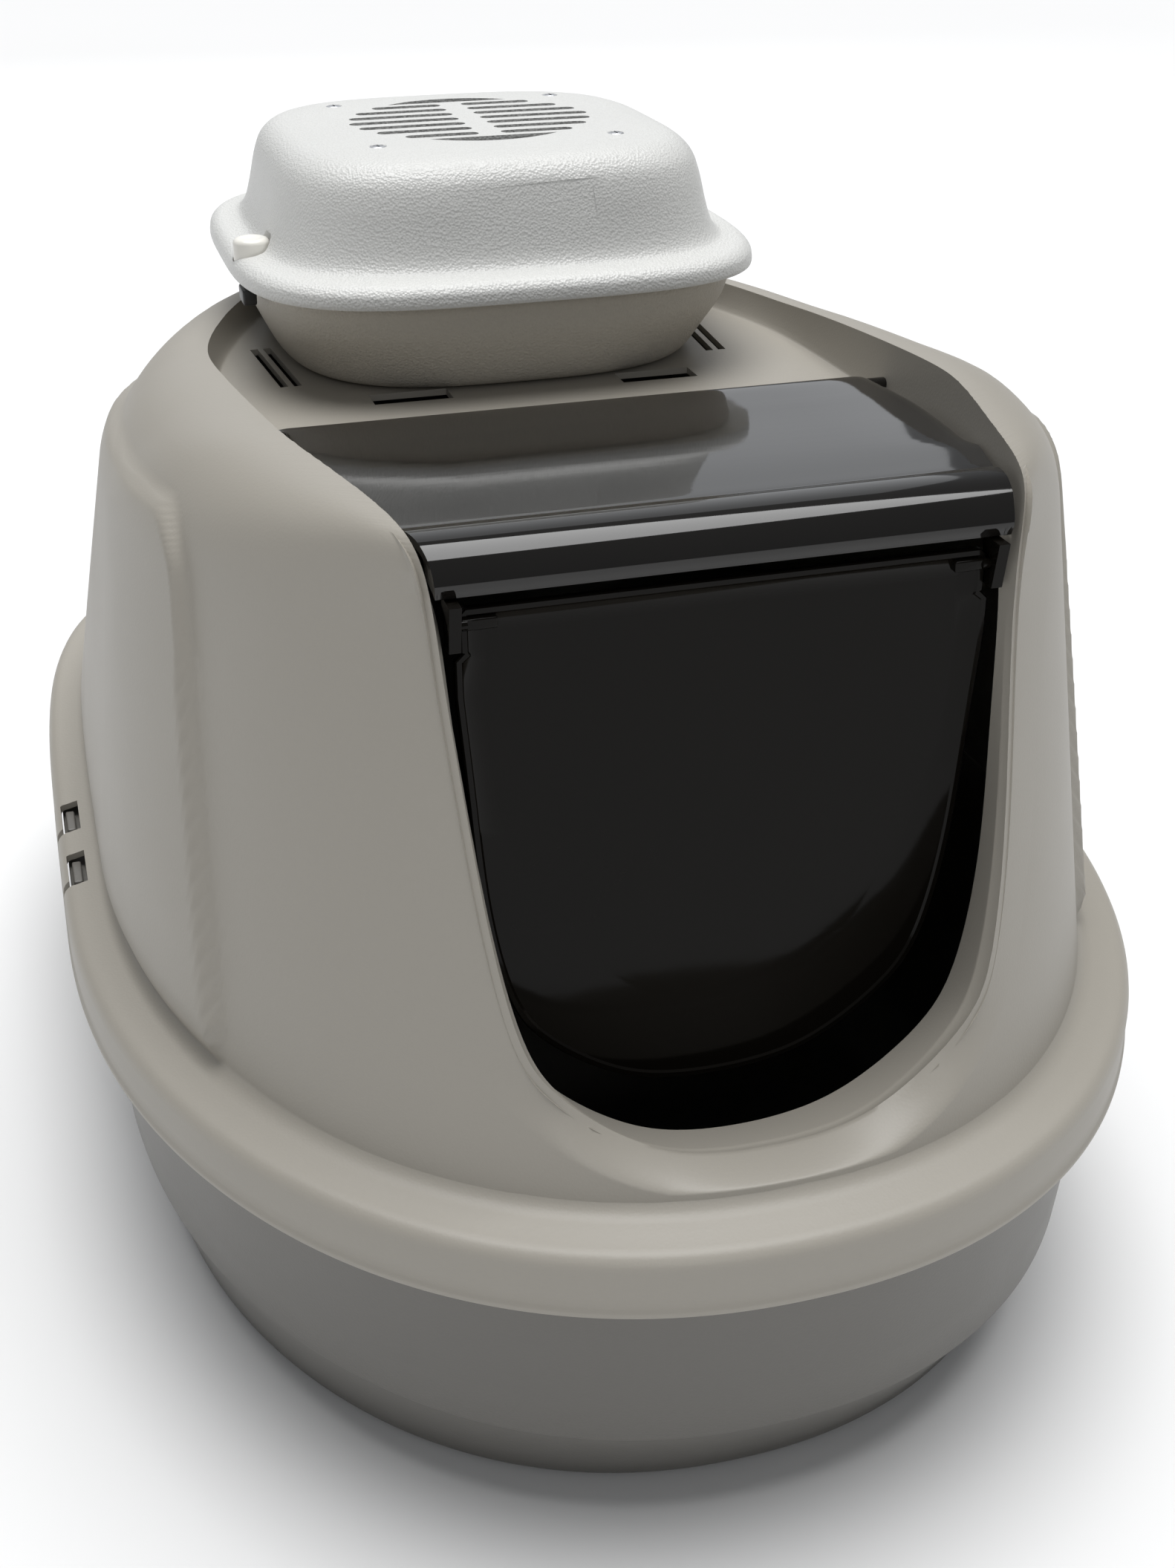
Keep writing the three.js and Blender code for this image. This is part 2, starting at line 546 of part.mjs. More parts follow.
// ---------------------------------------------------------------- swing door
const DOOR_AXIS_Y = VISOR_FRONT_Y + 1;
const DOOR_TILT = degrees(-2);
const BRACKET_OUTER = DOORWAY_HALF_WIDTH * 0.99 - BRACKET_GAP;
const BRACKET_INNER = BRACKET_OUTER - BRACKET_THICKNESS;
const DOOR_EAR_HALF = BRACKET_INNER - 0.8;

function doorOutline() {
  const drop = DOOR_AXIS_Z - SILL_Z;
  const outline = HOLE.slice(0, 8).map((p) => {
    const inward = vec(p.x, 0, p.z - (DOOR_AXIS_Z - drop / 2)).normalize().multiplyScalar(DOOR_GAP);
    return [p.x - inward.x, p.z - inward.z + 1];
  });
  const shoulderZ = DOOR_AXIS_Z - 10;
  const side = outline.filter(([, z]) => z < shoulderZ - 10);
  side.push([side.at(-1)[0], shoulderZ], [DOOR_EAR_HALF, shoulderZ], [DOOR_EAR_HALF, DOOR_AXIS_Z + 5]);
  const left = side.slice(1).reverse().map(([x, z]) => [-x, z]);
  return [...side, ...left];
}

function door() {
  const outline = doorOutline().map(([x, z]) => new THREE.Vector2(x, z - DOOR_AXIS_Z));
  const plate = new THREE.ExtrudeGeometry(new THREE.Shape(outline), { depth: DOOR_THICKNESS, bevelEnabled: false });
  plate.rotateX(Math.PI / 2);
  plate.rotateX(DOOR_TILT);
  plate.translate(0, DOOR_AXIS_Y + DOOR_THICKNESS / 2 + 3, DOOR_AXIS_Z);
  let shape = solid(plate);
  for (const side of [-1, 1]) {
    const reach = BRACKET_OUTER - 0.5;
    const inner = DOOR_EAR_HALF - 12;
    shape = shape.add(cylinderX(DOOR_PIN_R, ...(side < 0 ? [-reach, -inner] : [inner, reach]), DOOR_AXIS_Y, DOOR_AXIS_Z, 12));
    const ear = (inner + DOOR_EAR_HALF) / 2;
    shape = shape.add(box(12, 5, 4, side * ear, DOOR_AXIS_Y + 1.5, DOOR_AXIS_Z));
  }
  return shape;
}

function bracket(side) {
  const x = (side * (BRACKET_OUTER + BRACKET_INNER)) / 2;
  const top = DECK_Z + 9.5;
  const outline = [[-6, top], [-3.5, DOOR_AXIS_Z - 8], [3.5, DOOR_AXIS_Z - 8], [6, top]];
  const shape = new THREE.Shape(outline.map(([y, z]) => new THREE.Vector2(y, z)));
  const plate = new THREE.ExtrudeGeometry(shape, { depth: BRACKET_THICKNESS, bevelEnabled: false });
  plate.applyMatrix4(new THREE.Matrix4().set(0, 0, 1, 0, 1, 0, 0, 0, 0, 1, 0, 0, 0, 0, 0, 1));
  moved(plate, x - BRACKET_THICKNESS / 2, DOOR_AXIS_Y, 0);
  const hole = cylinderX(DOOR_PIN_R + DOOR_PIN_CLEARANCE, x - 5, x + 5, DOOR_AXIS_Y, DOOR_AXIS_Z, 12);
  return solid(plate).subtract(hole);
}

// ---------------------------------------------------------------- odour fan unit
// rounded-square rings centred on the unit
function unitRing(half, z, power = 3.6) {
  const ring = [];
  for (let i = 0; i < 48; i += 1) {
    const a = (i / 48) * 2 * Math.PI - Math.PI / 2;
    const c = Math.cos(a);
    const s = Math.sin(a);
    ring.push(vec(
      UNIT_X + half * Math.sign(c) * Math.abs(c) ** (2 / power),
      UNIT_Y + half * Math.sign(s) * Math.abs(s) ** (2 / power),
      z,
    ));
  }
  return ring;
}

const DOME_FOOT_INSET = 17;
const FLANGE_TOP_Z = UNIT_SEAM_Z + 9;
function upperShell() {
  const h = UNIT_HALF;
  const rings = [
    unitRing(h, UNIT_SEAM_Z + GAP), unitRing(h - 1, UNIT_SEAM_Z + 6), unitRing(h - 4, FLANGE_TOP_Z),
    unitRing(h - DOME_FOOT_INSET + 3, FLANGE_TOP_Z + 3), unitRing(h - DOME_FOOT_INSET, FLANGE_TOP_Z + 9),
    unitRing(h - 24, UNIT_TOP_Z - 14), unitRing(h - 28, UNIT_TOP_Z - 6), unitRing(h - 36, UNIT_TOP_Z - 1.5),
    unitRing(h - 46, UNIT_TOP_Z),
  ];
  const w = UNIT_WALL;
  const inner = [
    unitRing(h - 46, UNIT_TOP_Z - w), unitRing(h - 36 - w, UNIT_TOP_Z - 2 - w), unitRing(h - 28 - w, UNIT_TOP_Z - 6 - w),
    unitRing(h - 24 - w, UNIT_TOP_Z - 15), unitRing(h - DOME_FOOT_INSET - w, FLANGE_TOP_Z + 8),
    unitRing(h - DOME_FOOT_INSET - w, FLANGE_TOP_Z), unitRing(h - DOME_FOOT_INSET - w, UNIT_SEAM_Z + GAP),
  ];
  // the flange is solid; the dome is a shell
  let shape = solid(loft(rings)).subtract(solid(loft([...inner].reverse())));
  for (const tool of grilleCuts()) shape = shape.subtract(tool);
  for (const [x, y] of screwPlaces()) {
    shape = shape.subtract(cylinderZ(SCREW_R + 0.4, UNIT_TOP_Z - 10, UNIT_TOP_Z + 2, x, y, 16));
    shape = shape.subtract(cylinderZ(SCREW_R + 0.4, UNIT_TOP_Z - 2.2, UNIT_TOP_Z + 0.4, x, y, 16, SCREW_HEAD_R + 0.8));
  }
  shape = shape.subtract(cylinderZ(BUTTON_R + 0.5, UNIT_SEAM_Z - 5, FLANGE_TOP_Z + 10, ...BUTTON_PLACE));
  return shape;
}

function screwPlaces() {
  const half = FAN_PITCH / 2;
  return [[-1, -1], [1, -1], [-1, 1], [1, 1]].map(([a, b]) => [UNIT_X + a * half, UNIT_Y + b * half]);
}

// two rows of slots either side of a bar, and a bow-shaped slot at the front and the back
function grilleCuts() {
  const cuts = [];
  const pitch = 12.4;
  const wide = 6.4;
  const low = UNIT_TOP_Z - 12;
  const high = UNIT_TOP_Z + 4;
  const radius = FAN_BORE_R - 2;
  const bar = 5;
  for (let i = -3; i <= 3; i += 1) {
    const y = i * pitch;
    const reach = Math.sqrt(radius ** 2 - (Math.abs(y) + wide / 2) ** 2);
    for (const side of [-1, 1]) {
      cuts.push(box(reach - bar, wide, high - low, UNIT_X + (side * (reach + bar)) / 2, UNIT_Y + y, (low + high) / 2));
    }
  }
  const bow = 3.5 * pitch + wide / 2 - 1.5;
  for (const side of [-1, 1]) {
    const points = [];
    const half = Math.acos(bow / radius);
    for (let i = 0; i <= 10; i += 1) {
      const a = lerp(-half, half, i / 10) + Math.PI / 2;
      points.push([UNIT_X + radius * Math.cos(a) * 0.9, UNIT_Y + side * radius * Math.sin(a)]);
    }
    cuts.push(prism(side < 0 ? points.reverse() : points, low, high));
  }
  return cuts;
}

function lowerTub() {
  const bottom = TUB_BOTTOM_HALF;
  const top = UNIT_HALF - 8;
  const z = UNIT_FLOOR_Z;
  const w = UNIT_WALL;
  const rings = [
    unitRing(bottom - 10, z, 3), unitRing(bottom - 3, z + 1.5, 3), unitRing(bottom, z + 5, 3),
    unitRing(bottom + 3, z + 13, 3.1), unitRing(lerp(bottom, top, 0.7), z + 27, 3.4), unitRing(top, UNIT_SEAM_Z - 0.2),
  ];
  const inner = [
    unitRing(top - w, UNIT_SEAM_Z - 0.2), unitRing(lerp(bottom, top, 0.7) - w, z + 27, 3.4),
    unitRing(bottom + 3 - w, z + 13, 3.1), unitRing(bottom - 3 - w, z + 5, 3), unitRing(bottom - 10 - w, z + w, 3),
  ];
  let shape = solid(loft([...rings, ...inner]));
  for (let i = -3; i <= 3; i += 1) {
    shape = shape.subtract(box(...FILTER_SLOT, CUT_DEPTH, UNIT_X + i * FILTER_SLOT_PITCH, UNIT_Y, z));
  }
  shape = shape.subtract(cylinderY(CORD_D / 2 + 2.3, TUB_EXIT_Y - 20, TUB_EXIT_Y + 12, CORD_X, CORD_EXIT_Z));
  return shape;
}

function cylinderY(radius, low, high, x, z, sides = 20, endRadius = radius) {
  const geometry = new THREE.CylinderGeometry(endRadius, radius, high - low, sides);
  return solid(moved(geometry, x, (low + high) / 2, z));
}

const BUTTON_PLACE = [UNIT_X - UNIT_HALF + 10, UNIT_Y - 34];
const CORD_X = UNIT_X - 50;
const CORD_EXIT_Z = UNIT_FLOOR_Z + 24;
const TUB_EXIT_Y = UNIT_Y + TUB_BOTTOM_HALF + 7;

const FRAME_TOP_Z = UNIT_TOP_Z - UNIT_WALL - GAP;
const FRAME_LOW_Z = FRAME_TOP_Z - FAN_DEPTH;
function fanFrame() {
  const half = FAN_SIZE / 2;
  const cut = half - 5;
  const outline = [[-cut, -half], [cut, -half], [half, -cut], [half, cut], [cut, half], [-cut, half],
    [-half, cut], [-half, -cut]].map(([x, y]) => [x + UNIT_X, y + UNIT_Y]);
  let shape = prism(outline, FRAME_LOW_Z, FRAME_TOP_Z);
  shape = shape.subtract(cylinderZ(FAN_BORE_R, FRAME_LOW_Z - 1, FRAME_TOP_Z + 1, UNIT_X, UNIT_Y, 40));
  for (const [x, y] of screwPlaces()) {
    shape = shape.subtract(cylinderZ(SCREW_R + 0.3, FRAME_LOW_Z - 1, FRAME_TOP_Z + 1, x, y, 12));
  }
  // motor seat on four struts at the bottom
  shape = shape.add(cylinderZ(20, FRAME_LOW_Z, FRAME_LOW_Z + 3, UNIT_X, UNIT_Y));
  for (const turn of [45, 135]) {
    const strut = new THREE.BoxGeometry(2 * FAN_BORE_R + 6, 4, 3).rotateZ(degrees(turn));
    shape = shape.add(solid(moved(strut, UNIT_X, UNIT_Y, FRAME_LOW_Z + 1.5)));
  }
  return shape;
}

function fanRotor() {
  const low = FRAME_LOW_Z + 4;
  const high = FRAME_TOP_Z - 2;
  let shape = cylinderZ(19, low, high, UNIT_X, UNIT_Y);
  for (let i = 0; i < 7; i += 1) {
    const blade = new THREE.BoxGeometry(FAN_BORE_R - 19, 2, 24).rotateX(degrees(48));
    blade.translate((FAN_BORE_R + 17 - 1) / 2, 0, 0);
    blade.rotateZ(degrees(i * (360 / 7)));
    shape = shape.add(solid(moved(blade, UNIT_X, UNIT_Y, (low + high) / 2)));
  }
  return shape;
}

function screw([x, y]) {
  const neck = UNIT_TOP_Z - 2;
  const head = cylinderZ(SCREW_R, neck, UNIT_TOP_Z, x, y, 16, SCREW_HEAD_R);
  let shape = head.add(cylinderZ(SCREW_R, FRAME_LOW_Z - 5, neck + 0.5, x, y, 10));
  for (const [sx, sy] of [[4.4, 0.9], [0.9, 4.4]]) shape = shape.subtract(box(sx, sy, 1.6, x, y, UNIT_TOP_Z));
  return shape;
}

function nut([x, y]) {
  return cylinderZ(4, FRAME_LOW_Z - GAP - 3, FRAME_LOW_Z - GAP, x, y, 6)
    .subtract(cylinderZ(SCREW_R + 0.3, FRAME_LOW_Z - 6, FRAME_LOW_Z + 2, x, y, 10));
}

function button() {
  const [x, y] = BUTTON_PLACE;
  const low = UNIT_SEAM_Z + BUTTON_TRAVEL + 1;
  const shoulder = FLANGE_TOP_Z + BUTTON_PROUD - 1.5;
  return cylinderZ(BUTTON_R, low, shoulder, x, y).add(
    cylinderZ(BUTTON_R, shoulder - 0.1, FLANGE_TOP_Z + BUTTON_PROUD, x, y, 24, BUTTON_R - 1.5));
}

function latchClip() {
  const x = UNIT_X - UNIT_HALF + 5;
  return box(6, 14, 7, x, UNIT_Y - 50, UNIT_SEAM_Z - 4);
}

function filterPad() {
  return box(FILTER_WIDTH, FILTER_LENGTH, FILTER_THICKNESS, UNIT_X, UNIT_Y,
    FILTER_TOP_Z - FILTER_THICKNESS / 2 - 0.5);
}

function tubFilter() {
  const wide = Math.min(FILTER_WIDTH - 20, 2 * (TUB_BOTTOM_HALF - 28));
  const long = Math.min(FILTER_LENGTH, 2 * (TUB_BOTTOM_HALF - 38));
  return box(wide, long, FILTER_THICKNESS, UNIT_X, UNIT_Y,
    UNIT_FLOOR_Z + UNIT_WALL + GAP + FILTER_THICKNESS / 2);
}

// ---------------------------------------------------------------- cord and adapter
const CORD_R = CORD_D / 2;
const BACK_Y = LENGTH / 2;
const HANK_X = -98;
const HANK_Y = BACK_Y + 46;
const RELIEF_LENGTH = 22;
const RELIEF_START_X = HANK_X + HANK_LENGTH / 2 - 5;
const ADAPTER_X = RELIEF_START_X + RELIEF_LENGTH + ADAPTER_LENGTH / 2 + GAP;
const ADAPTER_Y = HANK_Y + HANK_WIDTH / 2 - CORD_R;
const TURN_PITCH = CORD_D + 0.1;
const HANK_HEIGHT = HANK_LAYERS * TURN_PITCH + 0.6;
const RELIEF_Z = HANK_HEIGHT - CORD_R - 0.3;
// from the grommet over the rim, down the back of the hood and on to the floor
const CORD_ROUTE = [
  [CORD_X, TUB_EXIT_Y + 7.4, CORD_EXIT_Z], [CORD_X, 208.5, CORD_EXIT_Z], [-54.3, 214.5, 362.8], [-55, 222, 358.5],
  [-56, 229.5, 351.5], [-57, 236.5, 341], [-58, 243.5, 325], [-59, 252, 305], [-60, 262.5, 282], [-61, 273.5, 258],
  [-62, 284.5, 233], [-63, 295, 209], [-64, 303.5, 187], [-65, 311.5, 168], [-66, 321, 157.8], [-66, 332, 153.7],
  [-64, 339.5, 146], [-60, 341.5, 132], [-55.5, 342, 108], [-52, 342.5, 80], [-49.5, 343.5, 52], [-48.5, 346, 26],
  [-49.5, 351, 9], [-54, 358.5, 2.6], [-61, 364, 1.9], [-66, 366, 1.9], [-71.2, 366, 1.9],
];

function cordTube(points) {
  const curve = new THREE.CatmullRomCurve3(points.map(([x, y, z]) => vec(x, y, z)), false, 'centripetal');
  const section = new THREE.Shape();
  for (let i = 0; i < 8; i += 1) {
    const a = (i / 8) * 2 * Math.PI;
    if (i === 0) section.moveTo(CORD_R, 0);
    else section.lineTo(CORD_R * Math.cos(a), CORD_R * Math.sin(a));
  }
  return new THREE.ExtrudeGeometry(section, { steps: 64, extrudePath: curve, bevelEnabled: false });
}

function hank() {
  const half = HANK_WIDTH / 2;
  const run = HANK_LENGTH / 2 - half;
  const outline = new THREE.Shape();
  outline.absarc(run, 0, half, -Math.PI / 2, Math.PI / 2);
  outline.absarc(-run, 0, half, Math.PI / 2, 1.5 * Math.PI);
  const geometry = new THREE.ExtrudeGeometry(outline, { depth: HANK_HEIGHT, bevelEnabled: false, curveSegments: 8 });
  return moved(geometry, HANK_X, HANK_Y, 0.3);
}

const adapter = new THREE.Group();
function adapterHalf(upper) {
  const split = ADAPTER_HEIGHT * 0.55;
  const low = upper ? split + 0.2 : 0.3;
  const high = upper ? ADAPTER_HEIGHT : split - 0.1;
  const half = ADAPTER_WIDTH / 2;
  const l = ADAPTER_LENGTH / 2;
  const c = 6;
  const outline = [[-l + c, -half], [l - c, -half], [l, -half + c], [l, half - c], [l - c, half], [-l + c, half],
    [-l, half - c], [-l, -half + c]];
  return prism(outline.map(([x, y]) => [x + ADAPTER_X, y + ADAPTER_Y]), low, high);
}

const BLADE_Z = ADAPTER_HEIGHT * 0.27;
function blade(side) {
  const y = ADAPTER_Y + side * 6.35;
  const x = ADAPTER_X + ADAPTER_LENGTH / 2 + GAP;
  return box(17.5, 1.5, 6.3, x + 8.75, y, BLADE_Z);
}

function strainRelief() {
  const x = ADAPTER_X - ADAPTER_LENGTH / 2 - GAP;
  const geometry = new THREE.CylinderGeometry(2.2, 4, RELIEF_LENGTH, 14);
  geometry.rotateZ(Math.PI / 2);
  return solid(moved(geometry, x - RELIEF_LENGTH / 2, ADAPTER_Y, RELIEF_Z));
}

// ---------------------------------------------------------------- the assembly
add('litter_pan', pan(), PAN_PLASTIC);
add('hood', hood(), HOOD_PLASTIC);
add('filter_holder', filterHolder(), BLACK_PLASTIC);
add('carbon_filter', filterPad(), FILTER_BLACK);
add('visor', visor(), SMOKED_PLASTIC);
add('door_bracket_left', bracket(-1), BLACK_PLASTIC);
add('door_bracket_right', bracket(1), BLACK_PLASTIC);
add('swing_door', door(), SMOKED_PLASTIC);
add('fan_unit_upper_shell', upperShell(), UNIT_LIGHT);
add('fan_unit_lower_tub', lowerTub(), UNIT_TAUPE);
add('fan_frame', fanFrame(), BLACK_PLASTIC);
add('fan_rotor', fanRotor(), BLACK_PLASTIC);
const CORNERS = ['front_left', 'front_right', 'back_left', 'back_right'];
screwPlaces().forEach((place, i) => {
  add(`fan_screw_${CORNERS[i]}`, screw(place), STEEL);
  add(`fan_nut_${CORNERS[i]}`, nut(place), STEEL);
});
add('unit_filter_pad', tubFilter(), FILTER_BLACK);
add('power_button', button(), BUTTON_WHITE);
add('latch_clip', latchClip(), BLACK_PLASTIC);
const grommet = cylinderY(CORD_R + 2, TUB_EXIT_Y - 6, TUB_EXIT_Y + 7, CORD_X, CORD_EXIT_Z, 14, CORD_R + 1);
add('cord_grommet', grommet, CORD_BLACK);
add('power_cord', cordTube(CORD_ROUTE), CORD_BLACK);
add('cord_hank', hank(), CORD_BLACK);
root.add(adapter);
add('adapter_lower_case', adapterHalf(false), CORD_BLACK, adapter);
add('adapter_upper_case', adapterHalf(true), CORD_BLACK, adapter);
add('adapter_blade_front', blade(-1), STEEL, adapter);
add('adapter_blade_back', blade(1), STEEL, adapter);
add('adapter_strain_relief', strainRelief(), CORD_BLACK, adapter);

export default root;
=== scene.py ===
"""A hooded cat litter box with a smoked visor, a swinging door and an odour fan unit.

Everything is worked out in millimetres and made in metres, in the frame's own axes:
the origin is on the floor under the middle of the box, -Y is the front and +Z is up.
"""
import logging
import math
from dataclasses import dataclass, field
from enum import Enum
from typing import Any, Callable, Iterable, Sequence

import bmesh
import bpy
import numpy as np
from mathutils import Matrix, Vector


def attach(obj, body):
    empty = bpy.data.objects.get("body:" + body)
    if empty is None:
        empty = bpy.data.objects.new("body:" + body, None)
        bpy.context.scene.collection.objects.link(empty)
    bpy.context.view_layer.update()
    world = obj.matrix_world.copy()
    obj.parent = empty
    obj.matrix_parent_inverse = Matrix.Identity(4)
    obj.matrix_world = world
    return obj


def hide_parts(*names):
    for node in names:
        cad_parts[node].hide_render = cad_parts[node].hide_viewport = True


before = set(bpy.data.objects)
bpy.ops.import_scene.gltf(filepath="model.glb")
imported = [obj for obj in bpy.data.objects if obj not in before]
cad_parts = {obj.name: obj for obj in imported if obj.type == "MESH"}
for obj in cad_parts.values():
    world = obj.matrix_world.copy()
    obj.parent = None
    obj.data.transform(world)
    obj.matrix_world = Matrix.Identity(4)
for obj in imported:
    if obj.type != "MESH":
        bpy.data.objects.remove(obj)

LOG = logging.getLogger("litter_box")
MM = 0.001
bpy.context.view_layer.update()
Array = np.ndarray


# ------------------------------------------------------------------ shader building
class Wire:
    """A node's output socket, or a number, that takes part in shader maths."""

    def __init__(self, bench: "ShaderBench", source: Any) -> None:
        """Keep the bench that owns the nodes and the socket or number."""
        self.bench = bench
        self.source = source

    def _maths(self, operation: str, left: Any, right: Any) -> "Wire":
        """Add one Math node.

        Args:
            operation: the Math node's operation.
            left: first value, socket or wire.
            right: second value, socket or wire.

        Returns:
            The node's result.
        """
        return self.bench.node("ShaderNodeMath", {"operation": operation}, {0: left, 1: right})

    def __add__(self, other: Any) -> "Wire":
        """Sum."""
        return self._maths("ADD", self, other)

    def __radd__(self, other: Any) -> "Wire":
        """Sum with a number on the left."""
        return self._maths("ADD", other, self)

    def __sub__(self, other: Any) -> "Wire":
        """Difference."""
        return self._maths("SUBTRACT", self, other)

    def __rsub__(self, other: Any) -> "Wire":
        """Difference from a number."""
        return self._maths("SUBTRACT", other, self)

    def __mul__(self, other: Any) -> "Wire":
        """Product."""
        return self._maths("MULTIPLY", self, other)

    def __rmul__(self, other: Any) -> "Wire":
        """Product with a number on the left."""
        return self._maths("MULTIPLY", other, self)

    def __truediv__(self, other: Any) -> "Wire":
        """Quotient."""
        return self._maths("DIVIDE", self, other)

    def __rtruediv__(self, other: Any) -> "Wire":
        """Quotient of a number."""
        return self._maths("DIVIDE", other, self)

    def __pow__(self, other: Any) -> "Wire":
        """Power."""
        return self._maths("POWER", self, other)


class ShaderBench:
    """One material's node tree and the few ways of adding to it."""

    def __init__(self, name: str) -> None:
        """Start a material that holds only its output node."""
        self.material = bpy.data.materials.new(name)
        self.material.use_nodes = True
        self.tree = self.material.node_tree
        self.tree.nodes.clear()

    def node(self, kind: str, settings: dict[str, Any], inputs: dict[Any, Any], output: Any = 0) -> Wire:
        """Add a node.

        Args:
            kind: the node's type.
            settings: properties, set before the inputs.
            inputs: socket name or index to a value or a wire.
            output: the output that the wire stands for.

        Returns:
            A wire from that output.
        """
        made = self.tree.nodes.new(kind)
        for key, value in settings.items():
            if key == "stops":
                self._set_stops(made, value)
            else:
                setattr(made, key, value)
        for key, value in inputs.items():
            source = value.source if isinstance(value, Wire) else value
            if isinstance(source, bpy.types.NodeSocket):
                self.tree.links.new(source, made.inputs[key])
            else:
                made.inputs[key].default_value = source
        return Wire(self, made.outputs[output] if made.outputs else made)

    @staticmethod
    def _set_stops(made: bpy.types.Node, stops: Sequence[tuple[float, tuple[float, ...]]]) -> None:
        """Place a ramp's stops."""
        ramp = made.color_ramp
        while len(ramp.elements) < len(stops):
            ramp.elements.new(0.5)
        for element, (place, colour) in zip(ramp.elements, stops):
            element.position = place
            element.color = colour

    def places(self) -> Wire:
        """The object's own coordinates, in metres."""
        return self.node("ShaderNodeTexCoord", {}, {}, "Object")

    def noise(self, scale: float, detail: float = 2.0, roughness: float = 0.5) -> Wire:
        """A noise over the object's coordinates, about 0.5 on average."""
        return self.node(
            "ShaderNodeTexNoise",
            {"noise_dimensions": "3D"},
            {"Vector": self.places(), "Scale": scale, "Detail": detail, "Roughness": roughness},
        )

    def grains(self, scale: float) -> Wire:
        """Distance to the nearest grain of a moulded surface texture."""
        return self.node("ShaderNodeTexVoronoi", {}, {"Vector": self.places(), "Scale": scale}, "Distance")

    def blend(self, share: Any, first: Sequence[float], second: Sequence[float]) -> Wire:
        """Mix two colours by a share."""
        return self.node(
            "ShaderNodeMix",
            {"data_type": "RGBA"},
            {0: share, 6: (*first, 1.0), 7: (*second, 1.0)},
            2,
        )

    def bump(self, height: Any, strength: float, depth: float) -> Wire:
        """A normal bent by a height, in metres of depth."""
        return self.node("ShaderNodeBump", {}, {"Height": height, "Strength": strength, "Distance": depth})

    def finish(self, inputs: dict[str, Any]) -> bpy.types.Material:
        """Close the tree with a Principled shader.

        Args:
            inputs: the shader's socket names and their values or wires.

        Returns:
            The finished material.
        """
        shader = self.node("ShaderNodeBsdfPrincipled", {}, inputs)
        self.node("ShaderNodeOutputMaterial", {}, {"Surface": shader})
        return self.material


class Grade(Enum):
    """How closely a moulded plastic is textured."""

    SMOOTH = 0.0
    SATIN = 0.35
    GRAINED = 1.0


@dataclass(frozen=True)
class MouldedPlastic:
    """An injection-moulded plastic: spark-eroded grain, faint flow tint and rubbed patches."""

    name: str
    colour: tuple[float, float, float]
    roughness: float = 0.5
    grade: Grade = Grade.SATIN
    grain_per_metre: float = 900.0
    grain_depth: float = 0.00012
    tint: float = 0.06
    coat: float = 0.0

    def make(self) -> bpy.types.Material:
        """Build the material."""
        bench = ShaderBench(self.name)
        cloud = bench.noise(6.0, 3.0)
        speck = bench.noise(420.0, 2.0, 0.7)
        share = cloud * 0.6 + speck * 0.4
        darker = tuple(c * (1 - self.tint) for c in self.colour)
        lighter = tuple(min(1.0, c * (1 + self.tint)) for c in self.colour)
        grain = bench.grains(self.grain_per_metre)
        relief = grain * self.grade.value + bench.noise(38.0, 2.0) * 0.25 * (1 - self.grade.value)
        rubbed = bench.noise(14.0, 4.0, 0.6)
        return bench.finish({
            "Base Color": bench.blend(share, darker, lighter),
            "Roughness": self.roughness - 0.05 + rubbed * 0.1,
            "Normal": bench.bump(relief, 0.25 + 0.6 * self.grade.value, self.grain_depth * (1 + 2 * self.grade.value)),
            "Coat Weight": self.coat,
            "Coat Roughness": 0.12,
        })


@dataclass(frozen=True)
class SmokedPlastic:
    """Dark transparent styrene, so deep that only its polish and faint scratches show."""

    name: str
    colour: tuple[float, float, float]
    roughness: float = 0.02
    gloss: float = 0.5
    ripple: float = 0.0003

    def make(self) -> bpy.types.Material:
        """Build the material."""
        bench = ShaderBench(self.name)
        haze = bench.noise(9.0, 3.0)
        along = bench.node("ShaderNodeVectorMath", {"operation": "MULTIPLY"}, {0: bench.places(), 1: (0.04, 1.0, 1.0)})
        drawn = bench.node("ShaderNodeTexNoise", {}, {"Vector": along, "Scale": 210.0, "Detail": 3.0})
        deep = tuple(c * 0.6 for c in self.colour)
        return bench.finish({
            "Base Color": bench.blend(haze, deep, self.colour),
            "Roughness": self.roughness + haze * 0.03 + drawn * 0.03,
            "Normal": bench.bump(bench.noise(11.0, 1.0) * 1.0 + drawn * 0.12, 0.3, self.ripple),
            "Specular IOR Level": self.gloss,
        })


@dataclass(frozen=True)
class PlatedSteel:
    """Bright plated steel with a turned grain."""

    name: str
    colour: tuple[float, float, float]
    roughness: float = 0.25

    def make(self) -> bpy.types.Material:
        """Build the material."""
        bench = ShaderBench(self.name)
        streak = bench.noise(700.0, 2.0)
        dull = tuple(c * 0.75 for c in self.colour)
        return bench.finish({
            "Base Color": bench.blend(streak, dull, self.colour),
            "Metallic": 1.0,
            "Roughness": self.roughness + streak * 0.18,
            "Normal": bench.bump(streak, 0.2, 0.00005),
        })


@dataclass(frozen=True)
class OpenFoam:
    """Reticulated filter foam, black with carbon, with its pores painted darker than the strut edges as painted shade.
    """

    name: str
    colour: tuple[float, float, float]

    def make(self) -> bpy.types.Material:
        """Build the material."""
        bench = ShaderBench(self.name)
        cells = bench.grains(420.0)
        # The strut edges are painted up to 2.2 times lighter than the pore centres: painted shade in the pores.
        light = tuple(c * 2.2 for c in self.colour)
        return bench.finish({
            "Base Color": bench.blend(cells, self.colour, light),
            "Roughness": 0.95,
            "Normal": bench.bump(cells, 0.9, 0.0012),
        })


